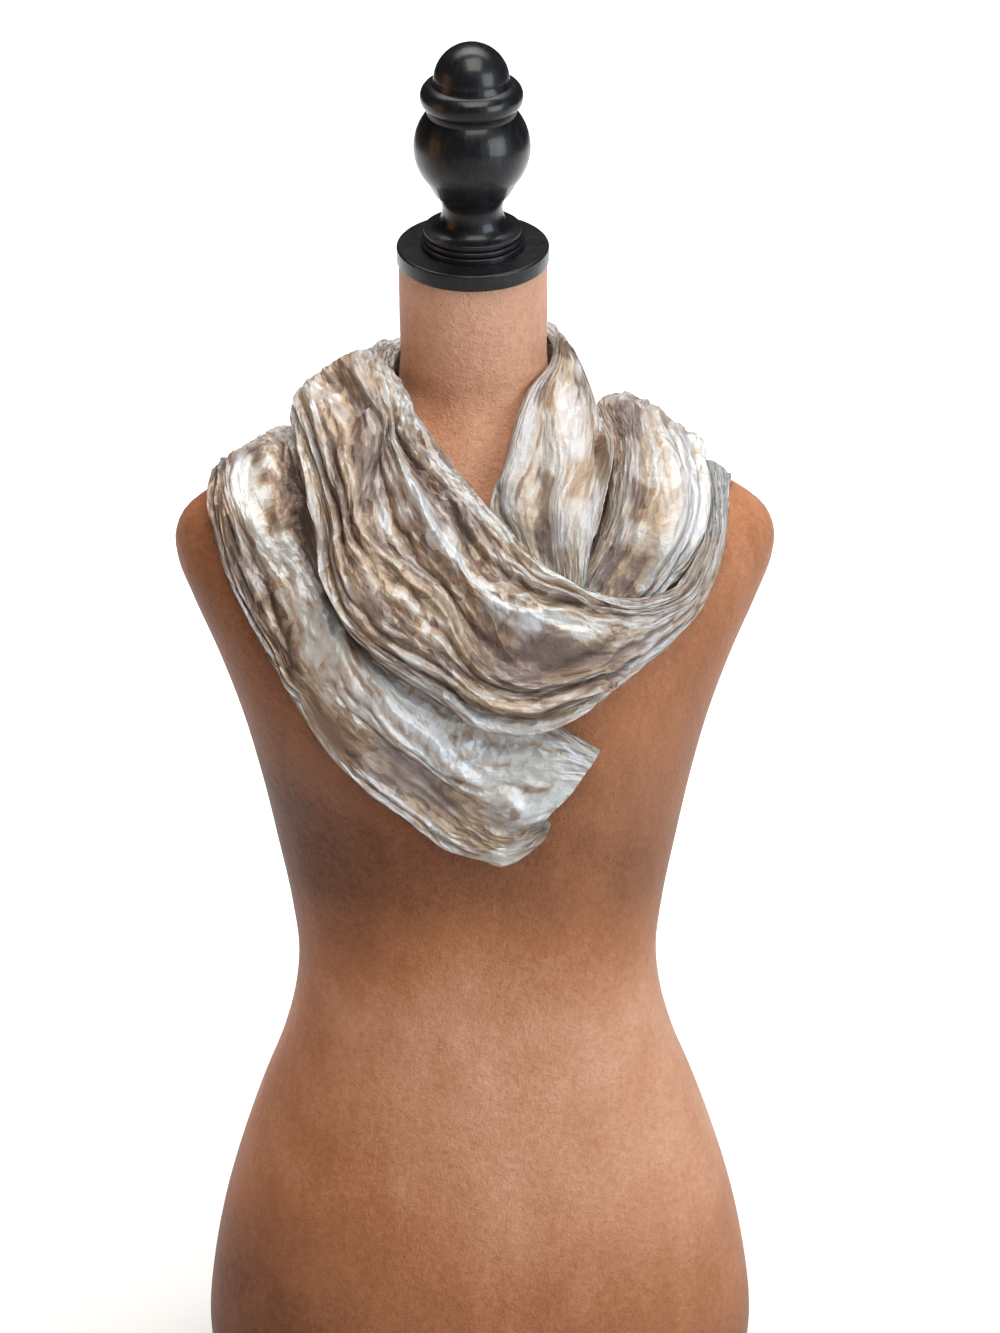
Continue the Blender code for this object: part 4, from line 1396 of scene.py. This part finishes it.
def black_wood():
    """Near-black satin lacquer over turned wood, whose grain just shows."""
    finish = Finish("black_turned_wood")
    where = finish.place()
    grain = finish.noise(where, 260, stretch=(1, 1, 0.25), detail=5, roughness=0.65, distortion=0.4)
    wear = finish.noise(where, 55, detail=3)
    pores = finish.spread(grain, 0.35, 0.7)
    colour = finish.mixed(pores, (0.004, 0.0045, 0.006), (0.013, 0.014, 0.017))
    finish.constant(Coat_Weight=0.3, Coat_Roughness=0.14, Specular_IOR_Level=0.25)
    rough = finish.sum((finish.spread(wear, 0.3, 0.7, 0.22, 0.34), 1.0), (grain, 0.10))
    return finish.join(Base_Color=colour, Roughness=rough, Normal=finish.bump(grain, 0.0003))


def satin():
    """Crushed changeable satin: silver, champagne, tan and brown by its tone, with a fine weave.

    The tone, which carries painted light and shade, is broken up by flat-sided cells drawn out along
    the cloth, in two sizes, which also tilt it.  Crinkle crests are painted lighter, a painted
    highlight.  The cells and the flecks between them fade where the cloth is calm.  Its colours
    change between tan and mauve from place to place.
    """
    finish = Finish("crinkled_satin")
    where = finish.node("ShaderNodeUVMap", uv_map="cloth").outputs["UV"]
    crest, tone, calm = (
        finish.node("ShaderNodeAttribute", attribute_name=name).outputs["Fac"]
        for name in ("crest", "tone", "calm")
    )
    clouds = finish.noise(where, 44, stretch=(0.30, 1, 1), detail=5, roughness=0.65, distortion=0.15)
    hues = finish.noise(where, 34, stretch=(0.4, 1, 1), detail=5, roughness=0.7, distortion=0.2)
    flecks = finish.noise(where, 330, stretch=(0.45, 1, 1), detail=4, roughness=0.65)
    wide, wide_tone = finish.cells(where, 85, (0.40, 1, 1), 0.010)
    narrow, narrow_tone = finish.cells(where, 210, (0.55, 1, 1), 0.004)
    threads = finish.noise(where, 760, stretch=(0.3, 1, 1), detail=2, roughness=0.6)
    weft = finish.noise(where, 760, stretch=(1, 0.3, 1), detail=2, roughness=0.6)
    lively = finish.spread(calm, 0, 1, 1, 0.2)
    broken = finish.sum((wide_tone, 0.12), (narrow_tone, 0.32), (flecks, 0.60), (0.5, -1.04))
    # The tone brings painted light and shade into the colour.
    shade = finish.sum(
        (tone, 0.17),
        (clouds, 0.22),
        (0.5, 0.33),
        (finish.product(broken, lively), 1.0),
        # Crests painted lighter: painted highlight.
        (crest, -0.14),
        (threads, 0.10),
        (weft, 0.10),
    )
    level = finish.spread(shade, 0.00, 0.88)
    tan, mauve = (
        finish.ramp(level, *((row[0], row[hue]) for row in SATIN_COLOURS)) for hue in (1, 2)
    )
    colour = finish.mixed(finish.spread(hues, 0.47, 0.56), tan, mauve)
    finish.constant(Metallic=0.3, Anisotropic=0.2, Specular_IOR_Level=0.4)
    rough = finish.spread(flecks, 0.3, 0.7, 0.42, 0.56)
    weave = finish.bump(finish.sum((threads, 0.6), (weft, 0.6)), 0.0004)
    crumpled = finish.sum((finish.product(narrow, lively), 1.0), (flecks, 0.4))
    crumpled = finish.bump(crumpled, 0.0010, weave)
    crushed = finish.bump(finish.product(wide, lively), 0.0017, crumpled)
    tangent = finish.node("ShaderNodeTangent", direction_type="UV_MAP", uv_map="cloth")
    return finish.join(
        Base_Color=colour, Roughness=rough, Normal=crushed, Tangent=tangent.outputs["Tangent"]
    )


def plaster():
    """Plain pale floor with a faint unevenness."""
    finish = Finish("pale_floor")
    where = finish.place()
    cloud = finish.noise(where, 1.5, detail=3)
    colour = finish.mixed(cloud, (0.75, 0.75, 0.75), (0.78, 0.78, 0.78))
    return finish.join(Base_Color=colour, Roughness=finish.spread(cloud, 0, 1, 0.85, 0.95))


# --- Floor, light and camera ---


def make_floor():
    """Plain pale floor, wide enough to fill the view behind the form."""
    reach = FLOOR_REACH
    mesh = bpy.data.meshes.new("floor")
    corners = [(-reach, -reach, 0), (reach, -reach, 0), (reach, reach, 0), (-reach, reach, 0)]
    mesh.from_pydata(corners, [], [(0, 1, 2, 3)])
    mesh.materials.append(plaster())
    floor = placed("floor", mesh)


def aimed(place, target):
    """Matrix of a lamp or camera at a place, looking at a target with its top up."""
    ahead = unit(np.array(target, float) - np.array(place, float))
    right = unit(np.cross(ahead, (0, 0, 1)))
    up = np.cross(right, ahead)
    matrix = np.eye(4)
    matrix[:3, :3] = np.stack([right, up, -ahead], axis=1)
    matrix[:3, 3] = place
    return Matrix(matrix.tolist())


def make_lamp(name, place, target, size, power, colour, spread):
    """A flat lamp at a place, facing a target, that the camera can't see."""
    lamp = bpy.data.lights.new(name, "AREA")
    lamp.shape = "RECTANGLE"
    lamp.size, lamp.size_y = size
    lamp.energy = power
    lamp.color = colour
    lamp.spread = math.radians(spread)
    lamp_object = placed(name, lamp)
    lamp_object.matrix_world = aimed(place, target)
    lamp_object.visible_camera = False


def make_stage():
    """Floor, lamps and the room.

    A lamp like a lit ceiling is high in front, a cool one like a window is on the right, a weak warm
    one is on the left, and one more lights the floor behind.
    """
    make_floor()
    for row in LAMPS:
        make_lamp(*row)
    world = bpy.data.worlds.new("room")
    world.use_nodes = True
    bpy.context.scene.world = world
    background = world.node_tree.nodes["Background"]
    background.inputs["Color"].default_value = (*ROOM_COLOUR, 1)
    background.inputs["Strength"].default_value = ROOM_LIGHT
    bpy.context.scene.view_settings.view_transform = "Standard"


def make_camera():
    """Camera in front of the form, looking down on it."""
    camera = bpy.data.cameras.new("camera")
    camera.lens = LENS
    camera.sensor_width = SENSOR
    viewer = placed("camera", camera)
    viewer.matrix_world = (
        Matrix.Translation(CAMERA_PLACE)
        @ Matrix.Rotation(math.radians(90) - CAMERA_DOWN, 4, "X")
        @ Matrix.Rotation(-CAMERA_ROLL, 4, "Z")
    )
    bpy.context.scene.camera = viewer


def main():
    """The dress form, its cap and finial, the scarf, and the stage."""
    cover = suede()
    wood = black_wood()
    cloth = satin()
    make_piece("dress_form_cover", "dress_form", "suede", *closed_tube(form_rings()), cover, FORM_SHARP)
    plate = closed_tube(turned_rings(plate_profile(), JOINT_GAP))
    make_piece("neck_plate_turned", "neck_plate", "black_wood", *plate, wood, TURNED_SHARP)
    finial = closed_tube(turned_rings(finial_profile(), PLATE_THICKNESS + 2 * JOINT_GAP))
    make_piece("finial_turned", "finial", "black_wood", *finial, wood, TURNED_SHARP)
    for name, made in lay_scarf().items():
        make_cloth(name, made, cloth)
    make_stage()
    make_camera()


main()
bpy.context.view_layer.update()
